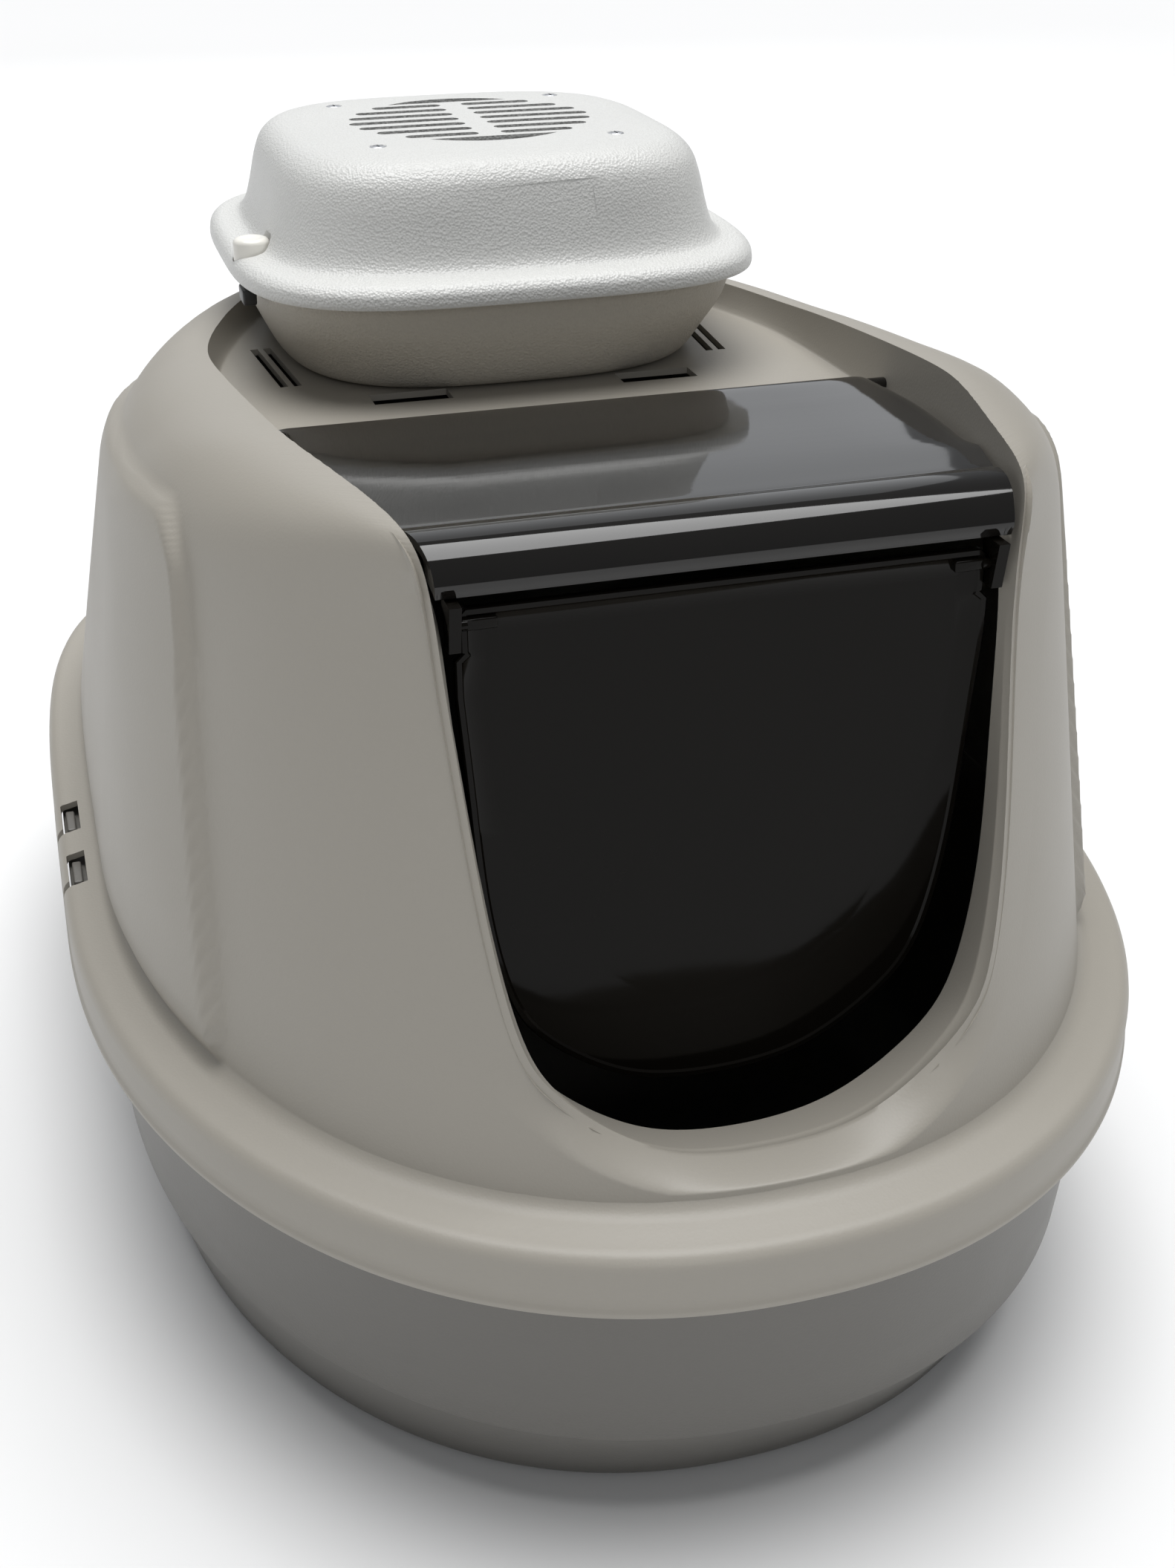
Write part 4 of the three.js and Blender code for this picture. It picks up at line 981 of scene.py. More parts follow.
    def skirt_rings(self) -> list[Array]:
        """The skirt with its lip, the rounded edge and the flange's top."""
        plan, top = self.plan, self.skirt_top
        rings = [plan.ring(0.4, 0.4, self.skirt_bottom), plan.ring(0, 0, self.skirt_bottom + 0.6),
                 plan.ring(0, 0, self.skirt_bottom + 2.4), plan.ring(0.7, 0.7, self.skirt_bottom + 3.2)]
        rings += [plan.ring(0.75, 0.75, self.skirt_bottom + 9), plan.ring(0.8, 0.8, top - 1)]
        for turn in np.radians([18, 36, 54, 72, 90]):
            back = 0.8 + 6.0 * (1 - math.cos(turn))
            rings.append(plan.ring(back, back, top - 1 + 6.0 * math.sin(turn)))
        for share in (0.4, 0.75, 1.0):
            inset = 6.8 + (self.flange + 0.5 - 6.8) * share
            rings.append(plan.ring(inset, inset, top + 5 + 3.0 * share))
        return rings

    def skin(self) -> list[Array]:
        """All the rings of the outer skin, from the skirt's bottom to the edge of the hole."""
        t = self.plan.steps()
        foot, shoulder = self.plan.foot_angle(t), self.shoulder_angle(t)
        rings = self.skirt_rings()
        for share in np.concatenate([[0.0, 0.012, 0.03, 0.06], np.linspace(0.1, 0.8, 14), np.linspace(0.83, 1.0, 12)]):
            theta = foot + (shoulder - foot) * share
            z = self.foot_z + (self.shoulder_z(t) - self.foot_z) * share
            rings.append(self.plan.whole(self.raise_panel(self.wall_points(theta, z))))
        for share in np.concatenate([np.linspace(0.03, 0.54, 18), np.linspace(0.6, 1.0, 6)]):
            rings.append(self.plan.whole(self.raise_panel(self.shoulder(t, share))))
        crest, foot_in, hole = (self.along(table, t) for table in (self.crest(), self.inner_foot(), self.hole()))
        for share in (0.05, 0.14, 0.3, 0.5, 0.7, 0.86, 0.95, 1.0):
            across = 1 - math.cos(share * math.pi / 2)
            point = crest + (foot_in - crest) * across
            point[:, 2] = crest[:, 2] + (foot_in[:, 2] - crest[:, 2]) * (share ** 2 * (3 - 2 * share))
            rings.append(self.plan.whole(point))
        for share in (0.06, 0.3, 0.65, 1.0):
            rings.append(self.plan.whole(foot_in + (hole - foot_in) * share))
        return rings

    def tools(self, unit_x: float, unit_y: float, tub_half: float, rows: CopyPattern) -> list[bpy.types.Object]:
        """Cutting tools for the latch windows and their slots, and for the deck's vents, notches and filter slots."""
        made = []
        for side in (-1, 1):
            for y in self.latches.places:
                x = side * (self.plan.width / 2 - self.latches.side_inset)
                size = (self.latches.width, self.latches.length, self.cut_depth)
                made.append(block("window", size, (x, y, self.skirt_top + 5), None))
                slot_x = side * (self.plan.width / 2 - 2)
                slot_y = y - self.latches.length / 2 + self.latches.slot / 2
                size = (self.latches.width, self.latches.slot, self.skirt_height * 0.75)
                made.append(block("window", size, (slot_x, slot_y, self.skirt_top), None))
            for offset in (0, self.vent_pitch):
                place = (unit_x + side * (tub_half + 10 - offset), unit_y - 34, self.deck_z)
                size = (*self.vent_size, self.cut_depth)
                made.append(block("vent", size, place, None, turn=-self.vent_lean * side))
            place = (side * self.notch_x, unit_y - tub_half - 1, self.deck_z)
            made.append(block("notch", (*self.notch_size, self.cut_depth), place, None))
        slot = block("filter_slots", (*self.filter_slot, self.cut_depth), (0, 0, 0), None)
        start = unit_x - self.filter_slot_pitch * (self.filter_slots - 1) / 2
        step = (self.filter_slot_pitch, 0, 0)
        made.append(rows.apply(slot, self.filter_slots, step, (start, unit_y, self.deck_z), None))
        return made

    def build(self, finishes: Finishes, unit: "FanUnit", rows: CopyPattern) -> bpy.types.Object:
        """Make the hood.

        Args:
            finishes: the box's materials.
            unit: the fan unit, whose place sets the deck's slots.
            rows: the pattern that repeats a slot.

        Returns:
            The hood's object.
        """
        shell = loft("hood_shell", self.skin(), finishes.hood, caps=False, crease=60.0)
        tidy_mesh(shell, 0.3)
        thicken(shell, self.wall)
        cut(shell, self.tools(unit.x, unit.y, unit.tub_half, rows), 62.0)
        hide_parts("hood")
        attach(shell, "hood_body")
        return shell


# ------------------------------------------------------------------ visor
@dataclass
class Visor:
    """The smoked visor: a gently crowned panel with turned-down sides and a rolled nose."""

    hood: Hood
    half_width: float = 127.0
    wall: float = 3.0
    pin: float = 3.0
    edge_gap: float = 1.5
    nose_back: float = 97.0

    @property
    def axis(self) -> tuple[float, float]:
        """The hinge's y and z."""
        return (self.hood.deck_front_y + 12.0, self.hood.deck_z + 9.5)

    @property
    def front_y(self) -> float:
        """The front of the roll."""
        return self.hood.plan.front_y + self.nose_back

    def outline(self, count: int = 90) -> tuple[Array, Array, Array]:
        """The upper surface in side view.

        Args:
            count: how many rows.

        Returns:
            The rows' y, z and half width.
        """
        share = [-0.023, 0, 0.15, 0.31, 0.6, 0.79, 0.83, 0.87, 0.92, 0.96, 0.985, 1, 0.995]
        rise = [12, 13.5, 15.5, 17.5, 21.5, 23.5, 24, 26.2, 26.5, 24.3, 20.5, 15, 10.5]
        half = [1, 1, 0.997, 0.985, 0.921, 0.851, 0.834, 0.82, 0.806, 0.795, 0.787, 0.783, 0.781]
        t = np.linspace(0, 1, count)
        ends = ((share[0], share[-1]), (rise[0], rise[-1]), (half[0], half[-1]))
        y, z, w = (through(v, t, e) for v, e in zip((share, rise, half), ends))
        return self.axis[0] + (self.front_y - self.axis[0]) * y, self.hood.deck_z + z, self.half_width * w

    def build(self, finishes: Finishes) -> bpy.types.Object:
        """Make the visor.

        Args:
            finishes: the box's materials.

        Returns:
            The visor's object.
        """
        y, z, half = self.outline()
        across = np.array([-1, -0.996, -0.988, -0.975, -0.955, -0.93, -0.6, -0.3, 0, 0.3, 0.6, 0.93, 0.955, 0.975,
                           0.988, 0.996, 1])
        drop = np.interp(np.abs(across), [0.93, 0.955, 0.975, 0.988, 0.996, 1.0], [0, 0.3, 1.1, 2.4, 3.9, 5.5])
        panel = smooth((self.front_y + 58.0 - y) / -14.0)
        points = [(a * half[r], y[r], z[r] - drop[i] * panel[r]) for r in range(len(y)) for i, a in enumerate(across)]
        skin = make_object("visor_skin", points, ring_faces(len(y), len(across), closed=False), finishes.smoked, 60.0)
        if skin.data.polygons[0].normal.z < 0:
            skin.data.flip_normals()
        thicken(skin, self.wall)
        shade(skin, 50.0)
        visor = join([skin, *self.ends(finishes)], "visor_panel")
        shade(visor, 50.0)
        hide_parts("visor")
        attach(visor, "visor_body")
        return visor

    def ends(self, finishes: Finishes) -> list[bpy.types.Object]:
        """The plates that close the roll's ends, and the hinge pins."""
        y, z, half = self.outline()
        start = int(np.argmax(z))
        rim = [(float(a), float(b)) for a, b in zip(y[start - 12:], z[start - 12:])]
        rim.append((self.front_y + 24.0, self.hood.deck_z + 13.0))
        made = []
        for side in (-1, 1):
            outer = side * (float(half[-1]) - 0.2)
            inner = outer - side * self.wall
            rings = [np.array([(x, a, b - 0.3) for a, b in rim]) for x in (inner, outer)]
            made.append(soften(loft("roll_end", rings, finishes.smoked), 0.5, 2))
            reach, start_x = self.half_width + self.edge_gap + 3.0, self.half_width - 22.0
            length = reach - start_x
            profile = [(0, 0), (self.pin - 0.4, 0), (self.pin, 0.4), (self.pin, length - 0.6),
                       (self.pin - 0.6, length), (0, length)]
            if side < 0:
                profile = [(r, -h) for r, h in profile]
            made.append(turned("hinge_pin", profile, (side * start_x, *self.axis), finishes.smoked, "X", 24))
        return made


# ------------------------------------------------------------------ swing door
@dataclass
class SwingDoor:
    """The smoked door: a U-shaped plate with a raised rim line and a broad bevel that widens downwards."""

    hood: Hood
    visor: Visor
    thickness: float = 3.0
    gap: float = 4.0
    pin: float = 1.8
    tilt: float = -2.0
    bevel: float = 34.0

    @property
    def axis(self) -> tuple[float, float]:
        """The pins' y and z."""
        return (self.visor.front_y + 1.0, self.hood.deck_z + 1.0)

    @property
    def ear(self) -> float:
        """Half width at the pins."""
        return self.hood.doorway_half_width * 0.99 - 1.0 - 4.0 - 0.8

    def outline(self) -> Array:
        """The right half of the door's edge in x and z, from the bottom centre to the top centre."""
        t = np.linspace(0, 7 / 21, 60)
        edge = self.hood.along(self.hood.hole(), t)
        middle = self.axis[1] - (self.axis[1] - self.hood.sill_z) / 2
        inward = np.stack([edge[:, 0], edge[:, 2] - middle], axis=1)
        inward /= np.linalg.norm(inward, axis=1, keepdims=True)
        curve = edge[:, [0, 2]] - inward * self.gap + np.array([0, 1])
        shoulder = self.axis[1] - 10.0
        curve = curve[curve[:, 1] < shoulder - 10]
        top = self.axis[1] + 5.0
        tail = [(curve[-1, 0], shoulder - 3), (curve[-1, 0] - 3, shoulder), (self.ear, shoulder),
                (self.ear, top - 2), (self.ear - 2, top), (0.0, top)]
        return np.concatenate([curve, np.array(tail)])

    def rings(self) -> list[Array]:
        """Rings from the back's edge, over the rim line and down the bevel to the flat middle."""
        right = self.outline()
        left = right[1:-1][::-1] * np.array([-1, 1])
        edge = np.concatenate([right, left])
        tangent = np.roll(edge, -1, axis=0) - np.roll(edge, 1, axis=0)
        normal = np.stack([-tangent[:, 1], tangent[:, 0]], axis=1)
        normal /= np.maximum(np.linalg.norm(normal, axis=1, keepdims=True), 1e-9)
        height = (edge[:, 1] - self.hood.sill_z) / (self.axis[1] - self.hood.sill_z)
        band = 9.0 + (self.bevel - 9.0) * smooth(1.15 - height * 1.6)
        made = []
        for inset, depth in ((0.4, 0.0), (0.0, 0.4), (0.0, 3.0), (0.5, 3.6), (2.2, 3.6), (3.0, 2.9)):
            made.append((edge + normal * inset, depth))
        made.append((edge + normal * (band[:, None] - 0.8), 1.5))
        made.append((edge + normal * (band[:, None] + 0.8), 1.4))
        angle = math.radians(self.tilt)
        out = []
        for flat, depth in made:
            y = self.thickness / 2 + 3.0 - depth
            z = flat[:, 1] - self.axis[1]
            out.append(np.stack([flat[:, 0], self.axis[0] + y * math.cos(angle) - z * math.sin(angle),
                                 self.axis[1] + y * math.sin(angle) + z * math.cos(angle)], axis=1))
        return out

    def build(self, finishes: Finishes) -> bpy.types.Object:
        """Make the door.

        Args:
            finishes: the box's materials.

        Returns:
            The door's object.
        """
        parts = [loft("door_plate", self.rings(), finishes.door, crease=30.0)]
        for side in (-1, 1):
            inner, reach = self.ear - 2.0, self.ear + 4.3
            length = reach - inner
            profile = [(0, 0), (self.pin, 0), (self.pin, length - 0.4), (self.pin - 0.4, length), (0, length)]
            if side < 0:
                profile = [(r, -h) for r, h in profile]
            parts.append(turned("door_pin", profile, (side * inner, *self.axis), finishes.door, "X", 20))
            middle = side * (self.ear - 6.0)
            parts.append(block("door_ear", (12, 5, 4), (middle, self.axis[0] + 1.5, self.axis[1]), finishes.door,
                               rounding=0.6))
        door = join(parts, "door_panel")
        shade(door, 30.0)
        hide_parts("swing_door")
        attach(door, "door_body")
        return door


# ------------------------------------------------------------------ odour fan unit
@dataclass
class FanUnit:
    """The fan unit: a round-cornered tub, a domed shell with a grille, screws, button and clip."""

    hood: Hood
    x: float = -4.0
    half: float = 116.5
    tub_half: float = 93.0
    tub_height: float = 41.5
    dome_height: float = 55.0
    back_gap: float = 15.0
    rim_wall: float = 7.0
    wall: float = 2.5
    bore: float = 57.0
    pitch: float = 105.0
    screw_head: float = 3.9
    screw_shank: float = 2.0
    button_radius: float = 8.0
    sides: int = 192

    @property
    def y(self) -> float:
        """The unit's middle."""
        return self.hood.rim_back_y - self.rim_wall - self.back_gap - self.tub_half

    @property
    def seam_z(self) -> float:
        """Where tub and shell meet."""
        return self.hood.deck_z + self.tub_height

    @property
    def top_z(self) -> float:
        """Top of the dome."""
        return self.seam_z + self.dome_height

    def ring(self, half: float, z: float, power: float = 3.6) -> Array:
        """A rounded-square ring round the unit's middle."""
        angle = np.linspace(0, 2 * math.pi, self.sides, endpoint=False)
        c, s = np.cos(angle), np.sin(angle)
        x = self.x + half * np.sign(c) * np.abs(c) ** (2 / power)
        y = self.y + half * np.sign(s) * np.abs(s) ** (2 / power)
        return np.stack([x, y, np.full(self.sides, z)], axis=1)

    def smooth_rings(self, stations: Sequence[tuple[float, float, float]], count: int) -> list[Array]:
        """Rings along a smooth profile of (half width, height, squareness) stations."""
        table = np.asarray(stations, dtype=float)
        t = np.linspace(0, 1, count)
        h, z, p = (through(table[:, k], t, (table[0, k], table[-1, k])) for k in range(3))
        return [self.ring(float(a), float(b), float(c)) for a, b, c in zip(h, z, p)]

    def build_shell(self, finishes: Finishes) -> bpy.types.Object:
        """The upper shell with its grille, screw sinks and button hole."""
        h, seam, top = self.half, self.seam_z, self.top_z
        rings = [self.ring(h - 1.2, seam + 0.4), self.ring(h - 0.2, seam + 0.8), self.ring(h, seam + 1.6)]
        rings += self.smooth_rings(
            [(h, seam + 3.0, 3.6), (h - 0.8, seam + 6.4, 3.6), (h - 4, seam + 9.2, 3.6), (h - 10, seam + 10.6, 3.6),
             (h - 14, seam + 12.2, 3.6), (h - 17, seam + 17, 3.6), (h - 19.6, seam + 26, 3.6),
             (h - 22.4, top - 17, 3.6), (h - 26.0, top - 8.5, 3.6), (h - 33, top - 3, 3.5), (h - 45, top - 0.6, 3.4)], 40)
        rings += [self.ring(h * 0.45, top - 0.1, 3.0), self.ring(h * 0.2, top, 2.4)]
        w = self.wall
        inner = [self.ring(h * 0.2, top - w, 2.4), self.ring(h - 46, top - w - 0.6), self.ring(h - 33 - w, top - 3 - w),
                 self.ring(h - 26 - w, top - 9 - w), self.ring(h - 22.4 - w, top - 18),
                 self.ring(h - 17 - w, seam + 17), self.ring(h - 17 - w, seam + 0.4)]
        rings = rings + inner + [rings[0]]
        shell = loft("fan_unit_shell", rings, finishes.unit_light, caps=False, crease=40.0)
        shell = self.close_crown(shell)
        cut(shell, self.shell_tools())
        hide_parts("fan_unit_upper_shell")
        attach(shell, "fan_unit_body")
        return shell

    @staticmethod
    def close_crown(shell: bpy.types.Object) -> bpy.types.Object:
        """Drop the small strip that joins the outer crown to the inner one and close both."""
        work = bmesh.new()
        work.from_mesh(shell.data)
        strip = [f for f in work.faces if max(v.co.z for v in f.verts) - min(v.co.z for v in f.verts) > 2 * MM
                 and max(abs(v.co.x) for v in f.verts) < 30 * MM]
        bmesh.ops.delete(work, geom=strip, context="FACES_ONLY")
        open_edges = [e for e in work.edges if e.is_boundary]
        bmesh.ops.holes_fill(work, edges=open_edges, sides=0)
        bmesh.ops.recalc_face_normals(work, faces=work.faces)
        work.to_mesh(shell.data)
        work.free()
        return shell

    def screw_places(self) -> list[tuple[float, float]]:
        """The four screws' places."""
        half = self.pitch / 2
        return [(self.x + a * half, self.y + b * half) for b in (-1, 1) for a in (-1, 1)]

    def button_place(self) -> tuple[float, float]:
        """The button's place on the flange."""
        return (self.x - self.half + 10.0, self.y - 34.0)

    def shell_tools(self) -> list[bpy.types.Object]:
        """Cutting tools for the grille, the screw sinks and the button."""
        made = []
        step, wide, radius, bar = 12.4, 6.4, self.bore - 2.0, 5.0
        z = self.top_z - 4
        for i in range(-3, 4):
            y = i * step
            reach = math.sqrt(radius ** 2 - (abs(y) + wide / 2) ** 2)
            for side in (-1, 1):
                made.append(self.slot(reach - bar, wide, (self.x + side * (reach + bar) / 2, self.y + y, z)))
        bow = 3.5 * step + wide / 2 - 1.5
        half = math.acos(bow / radius)
        for side in (-1, 1):
            angles = np.linspace(-half, half, 24) + math.pi / 2
            flat = np.stack([self.x + radius * np.cos(angles) * 0.9, self.y + side * radius * np.sin(angles)], axis=1)
            rings = [np.column_stack([flat, np.full(24, level)]) for level in (z - 8, z + 8)]
            made.append(loft("bow_slot", rings, None))
        for x, y in self.screw_places():
            top, sink = self.top_z, self.screw_head + 0.8
            profile = [(0, -10), (self.screw_shank + 0.4, -10), (self.screw_shank + 0.4, -2.2), (sink, 0.6),
                       (sink, 2.0), (0, 2.0)]
            made.append(turned("screw_sink", profile, (x, y, top), None, sides=32))
        bx, by = self.button_place()
        hole = self.button_radius + 0.5
        profile = [(0, -8), (hole, -8), (hole, 8.8), (hole + 0.8, 9.8), (hole + 0.8, 18), (0, 18)]
        made.append(turned("button_hole", profile, (bx, by, self.seam_z), None, sides=48))
        return made

    @staticmethod
    def slot(length: float, width: float, middle: Sequence[float]) -> bpy.types.Object:
        """A round-ended slot tool along X."""
        run, r = length / 2 - width / 2, width / 2
        right = np.linspace(-math.pi / 2, math.pi / 2, 9)
        left = np.linspace(math.pi / 2, 3 * math.pi / 2, 9)
        flat = [(run + r * math.cos(a), r * math.sin(a)) for a in right]
        flat += [(-run + r * math.cos(a), r * math.sin(a)) for a in left]
        rings = [np.array([(middle[0] + a, middle[1] + b, middle[2] + h) for a, b in flat]) for h in (-8.0, 8.0)]
        return loft("grille_slot", rings, None)

    def build_tub(self, finishes: Finishes) -> bpy.types.Object:
        """The lower tub, open at its top."""
        b, top, z, w = self.tub_half, self.half - 8.0, self.hood.deck_z + 0.4, self.wall
        mid = b + (top - b) * 0.82
        outer = [(b - 8, z, 3), (b - 3.5, z + 0.6, 3), (b - 0.2, z + 2.4, 3), (b + 2.8, z + 6, 3), (b + 7, z + 14, 3.1),
                 (mid, z + 27, 3.4), (top - 0.6, z + 38, 3.6), (top, self.seam_z - 0.2, 3.6)]
        inner = [(h - w, max(level, z + w), p) for h, level, p in reversed(outer[2:])]
        rings = self.smooth_rings(outer, 26) + self.smooth_rings(inner, 16) + [self.ring(b - 12, z + w, 3)]
        tub = loft("fan_unit_tub", rings, finishes.unit_taupe, crease=50.0)
        exit_x, exit_z = self.cord_exit()[0], self.cord_exit()[2]
        hole = [(0, -22), (3.8, -22), (3.8, 14), (0, 14)]
        cut(tub, [turned("cord_hole", hole, (exit_x, self.cord_exit()[1] - 2, exit_z), None, "Y", 32)])
        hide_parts("fan_unit_lower_tub")
        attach(tub, "fan_unit_body")
        return tub

    def cord_exit(self) -> tuple[float, float, float]:
        """Where the cord leaves the tub's back wall."""
        return (self.x - 50.0, self.y + self.tub_half + 7.0, self.hood.deck_z + 24.4)

    def build_screws(self, finishes: Finishes, grid: CopyPattern) -> bpy.types.Object:
        """Four cross-head screws on the fan's square pitch."""
        r = self.screw_head
        head = turned("screw", [(0, -0.2), (r * 0.55, -0.15), (r * 0.85, -0.5), (r, -1.0), (self.screw_shank, -3.0),
                                (self.screw_shank, -26.0), (self.screw_shank - 0.6, -33.0), (0, -33.0)],
                      (0, 0, 0), finishes.steel, sides=32)
        cross = [block("cross", size, (0, 0, 0), None) for size in ((4.6, 0.9, 1.8), (0.9, 4.6, 1.8))]
        cut(head, cross)
        grid.apply(head, 2, (self.pitch, self.pitch, 0), (self.x, self.y, self.top_z), finishes.steel)
        tidy_mesh(head)
        head.name = "fan_screws"
        corners = ("front_left", "front_right", "back_left", "back_right")
        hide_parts(*(f"fan_screw_{corner}" for corner in corners))
        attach(head, "fan_unit_body")
        return head

    def build_button(self, finishes: Finishes) -> bpy.types.Object:
        """The round push button with a dished top."""
        bx, by = self.button_place()
        r = self.button_radius
        profile = [(0, 3), (r, 3), (r, 14.2), (r - 0.3, 15.1), (r - 1.1, 15.9), (r - 2.4, 16.4), (r - 3.4, 16.2),
                   (r - 5, 15.9), (0, 15.8)]
        button = turned("push_button", profile, (bx, by, self.seam_z), finishes.button, sides=64)
        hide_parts("power_button")
        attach(button, "button_body")
        return button

    def build_clip(self, finishes: Finishes) -> bpy.types.Object:
        """The latch clip under the shell's edge."""
        place = (self.x - self.half + 5.0, self.y - 50.0, self.seam_z - 4.0)
        clip = block("latch_tab", (6, 14, 7), place, finishes.black, rounding=1.2)
        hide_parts("latch_clip")
        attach(clip, "fan_unit_body")
        return clip


# ------------------------------------------------------------------ cord and adapter
@dataclass
class CordSet:
    """The cord from the fan unit, its tied hank and the mains adapter, all behind the box."""

    unit: FanUnit
    diameter: float = 3.0
    hank_length: float = 66.0
    hank_width: float = 34.0
    layers: int = 4
    hank_x: float = -98.0
    relief_length: float = 22.0
    adapter_length: float = 78.0
    adapter_width: float = 46.0
    adapter_height: float = 30.0
    gap: float = 0.4

    @property
    def hank_y(self) -> float:
        """The hank's middle line."""
        return self.unit.hood.plan.length / 2 + 46.0

    @property
    def pitch(self) -> float:
        """Distance between neighbouring turns."""
        return self.diameter + 0.1

    @property
    def top_turn_z(self) -> float:
        """Height of the cord in the top turn."""
        return self.layers * self.pitch + 0.6 - self.diameter / 2 - 0.3

    @property
    def adapter_middle(self) -> tuple[float, float]:
        """The adapter's place on the floor."""
        x = self.hank_x + self.hank_length / 2 - 5.0 + self.relief_length + self.adapter_length / 2 + self.gap
        return (x, self.hank_y + self.hank_width / 2 - self.diameter / 2)

    def route(self) -> list[tuple[float, float, float]]:
        """Listed points from the grommet over the rim, down the back and along the floor."""
        x, y, z = self.unit.cord_exit()
        return [(x, y + 7.4, z), (x, 208.5, z), (-54.3, 214.5, 362.8), (-55, 222, 358.5),
                (-56, 229.5, 351.5), (-57, 236.5, 341), (-58, 243.5, 325), (-59, 252, 305), (-60, 262.5, 282),
                (-61, 273.5, 258), (-62, 284.5, 233), (-63, 295, 209), (-64, 303.5, 187), (-65, 311.5, 168),
                (-66, 321, 157.8), (-66, 332, 153.7), (-64, 339.5, 146), (-60, 341.5, 132), (-55.5, 342, 108),
                (-52, 342.5, 80), (-49.5, 343.5, 52), (-48.5, 346, 26), (-49.5, 351, 9), (-54, 358.5, 2.6),
                (-61, 364, 1.9), (-66, 366, 1.9), (-71.2, 366, 1.9)]

    def hank_points(self) -> list[tuple[float, float, float]]:
        """Turns of the hank: in and out through the layers, worked out from the turn's angle."""
        outer = self.hank_width / 2 - self.diameter / 2
        run = self.hank_length / 2 - self.hank_width / 2
        made = []
        for layer in range(self.layers):
            inward = layer % 2 == 0
            z = 1.9 + layer * self.pitch
            for turn in range(2):
                start = outer - (turn if inward else 1 - turn) * self.pitch
                after = start - self.pitch if (inward and turn == 0) else start + self.pitch
                if (inward and turn == 1) or (not inward and turn == 1):
                    after = start
                last = layer == self.layers - 1 and turn == 1
                made += self.one_turn(start, after, run, z, z if turn == 0 or last else z + self.pitch, last)
        return made

    def one_turn(self, start: float, after: float, run: float, z: float, next_z: float,
                 leaves: bool) -> list[tuple[float, float, float]]:
        """One turn, from the front run's right end, left, round to the back run and home.

        Args:
            start: radius of this turn's ends.
            after: radius of the next turn's ends.
            run: half the straight run.
            z: this turn's height.
            next_z: the next turn's height.
            leaves: whether the cord leaves along the back run instead of coming home.

        Returns:
            The points.
        """
        points = [(run * (1 - 2 * k / 6), -start, z) for k in range(6)]
        for k in range(13):
            a = -math.pi / 2 - math.pi * k / 12
            points.append((-run + start * math.cos(a), start * math.sin(a), z))
        if leaves:
            points += [(-run + 2 * run * k / 6, start, z) for k in range(1, 7)]
        else:
            for k in range(1, 7):
                share = k / 6
                lift = share * share * (3 - 2 * share)
                points.append((-run + 2 * run * share, start + (after - start) * lift, z + (next_z - z) * lift))
            for k in range(1, 12):
                a = math.pi / 2 - math.pi * k / 12
                points.append((run + after * math.cos(a), after * math.sin(a), next_z))
        return [(self.hank_x + x, self.hank_y + y, level) for x, y, level in points]

    def centreline(self) -> list[tuple[float, float, float]]:
        """The whole cord, from the grommet through the strain relief to the middle of the adapter."""
        relief = self.adapter_middle[0] - self.adapter_length / 2 - self.gap - self.relief_length
        tail = [(x, self.adapter_middle[1], self.top_turn_z) for x in (relief - 3.0, relief, self.adapter_middle[0])]
        return self.eased([*self.route(), *self.hank_points(), *tail])

    @staticmethod
    def eased(points: Sequence[tuple[float, float, float]]) -> list[tuple[float, float, float]]:
        """A centripetal curve through points, about a diameter between its own points."""
        given = np.asarray(points, dtype=float)
        padded = np.concatenate([[2 * given[0] - given[1]], given, [2 * given[-1] - given[-2]]])
        out = []
        for i in range(1, len(padded) - 2):
            p = padded[i - 1:i + 3]
            knots = np.concatenate([[0], np.cumsum(np.sqrt(np.linalg.norm(np.diff(p, axis=0), axis=1)))])
            count = max(2, int(np.linalg.norm(p[2] - p[1]) / 2.2))
            for t in np.linspace(knots[1], knots[2], count, endpoint=False):
                level = [p[k] + (p[k + 1] - p[k]) * ((t - knots[k]) / (knots[k + 1] - knots[k])) for k in range(3)]
                level = [level[k] + (level[k + 1] - level[k]) * ((t - knots[k]) / (knots[k + 2] - knots[k]))
                         for k in range(2)]
                out.append(tuple(level[0] + (level[1] - level[0]) * ((t - knots[1]) / (knots[2] - knots[1]))))
        out.append(tuple(given[-1]))
        return out

    def build(self, finishes: Finishes, rows: CopyPattern) -> list[bpy.types.Object]:
        """Make the cord, its tie, the adapter and the strain relief.

        Args:
            finishes: the box's materials.
            rows: the pattern that repeats the relief's ribs.

        Returns:
            The pieces.
        """
        lead = self.lead(finishes)
        tie = self.tie(finishes)
        cases = [self.case(finishes, False), self.case(finishes, True)]
        relief = self.relief(finishes, rows)
        x, y, z = self.unit.cord_exit()
        path = self.centreline()
        return [lead, tie, *cases, relief]

    def lead(self, finishes: Finishes) -> bpy.types.Object:
        """The cord as one curve."""
        curve = bpy.data.curves.new("mains_lead", "CURVE")
        curve.dimensions = "3D"
        curve.bevel_depth = self.diameter / 2 * MM
        curve.bevel_resolution = 3
        curve.use_fill_caps = True
        path = self.centreline()
        spline = curve.splines.new("POLY")
        spline.points.add(len(path) - 1)
        for point, place in zip(spline.points, path):
            point.co = (*(v * MM for v in place), 1.0)
        curve.materials.append(finishes.cord)
        lead = bpy.data.objects.new("mains_lead", curve)
        bpy.context.scene.collection.objects.link(lead)
        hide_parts("power_cord", "cord_hank")
        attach(lead, "fan_unit_body")
        return lead

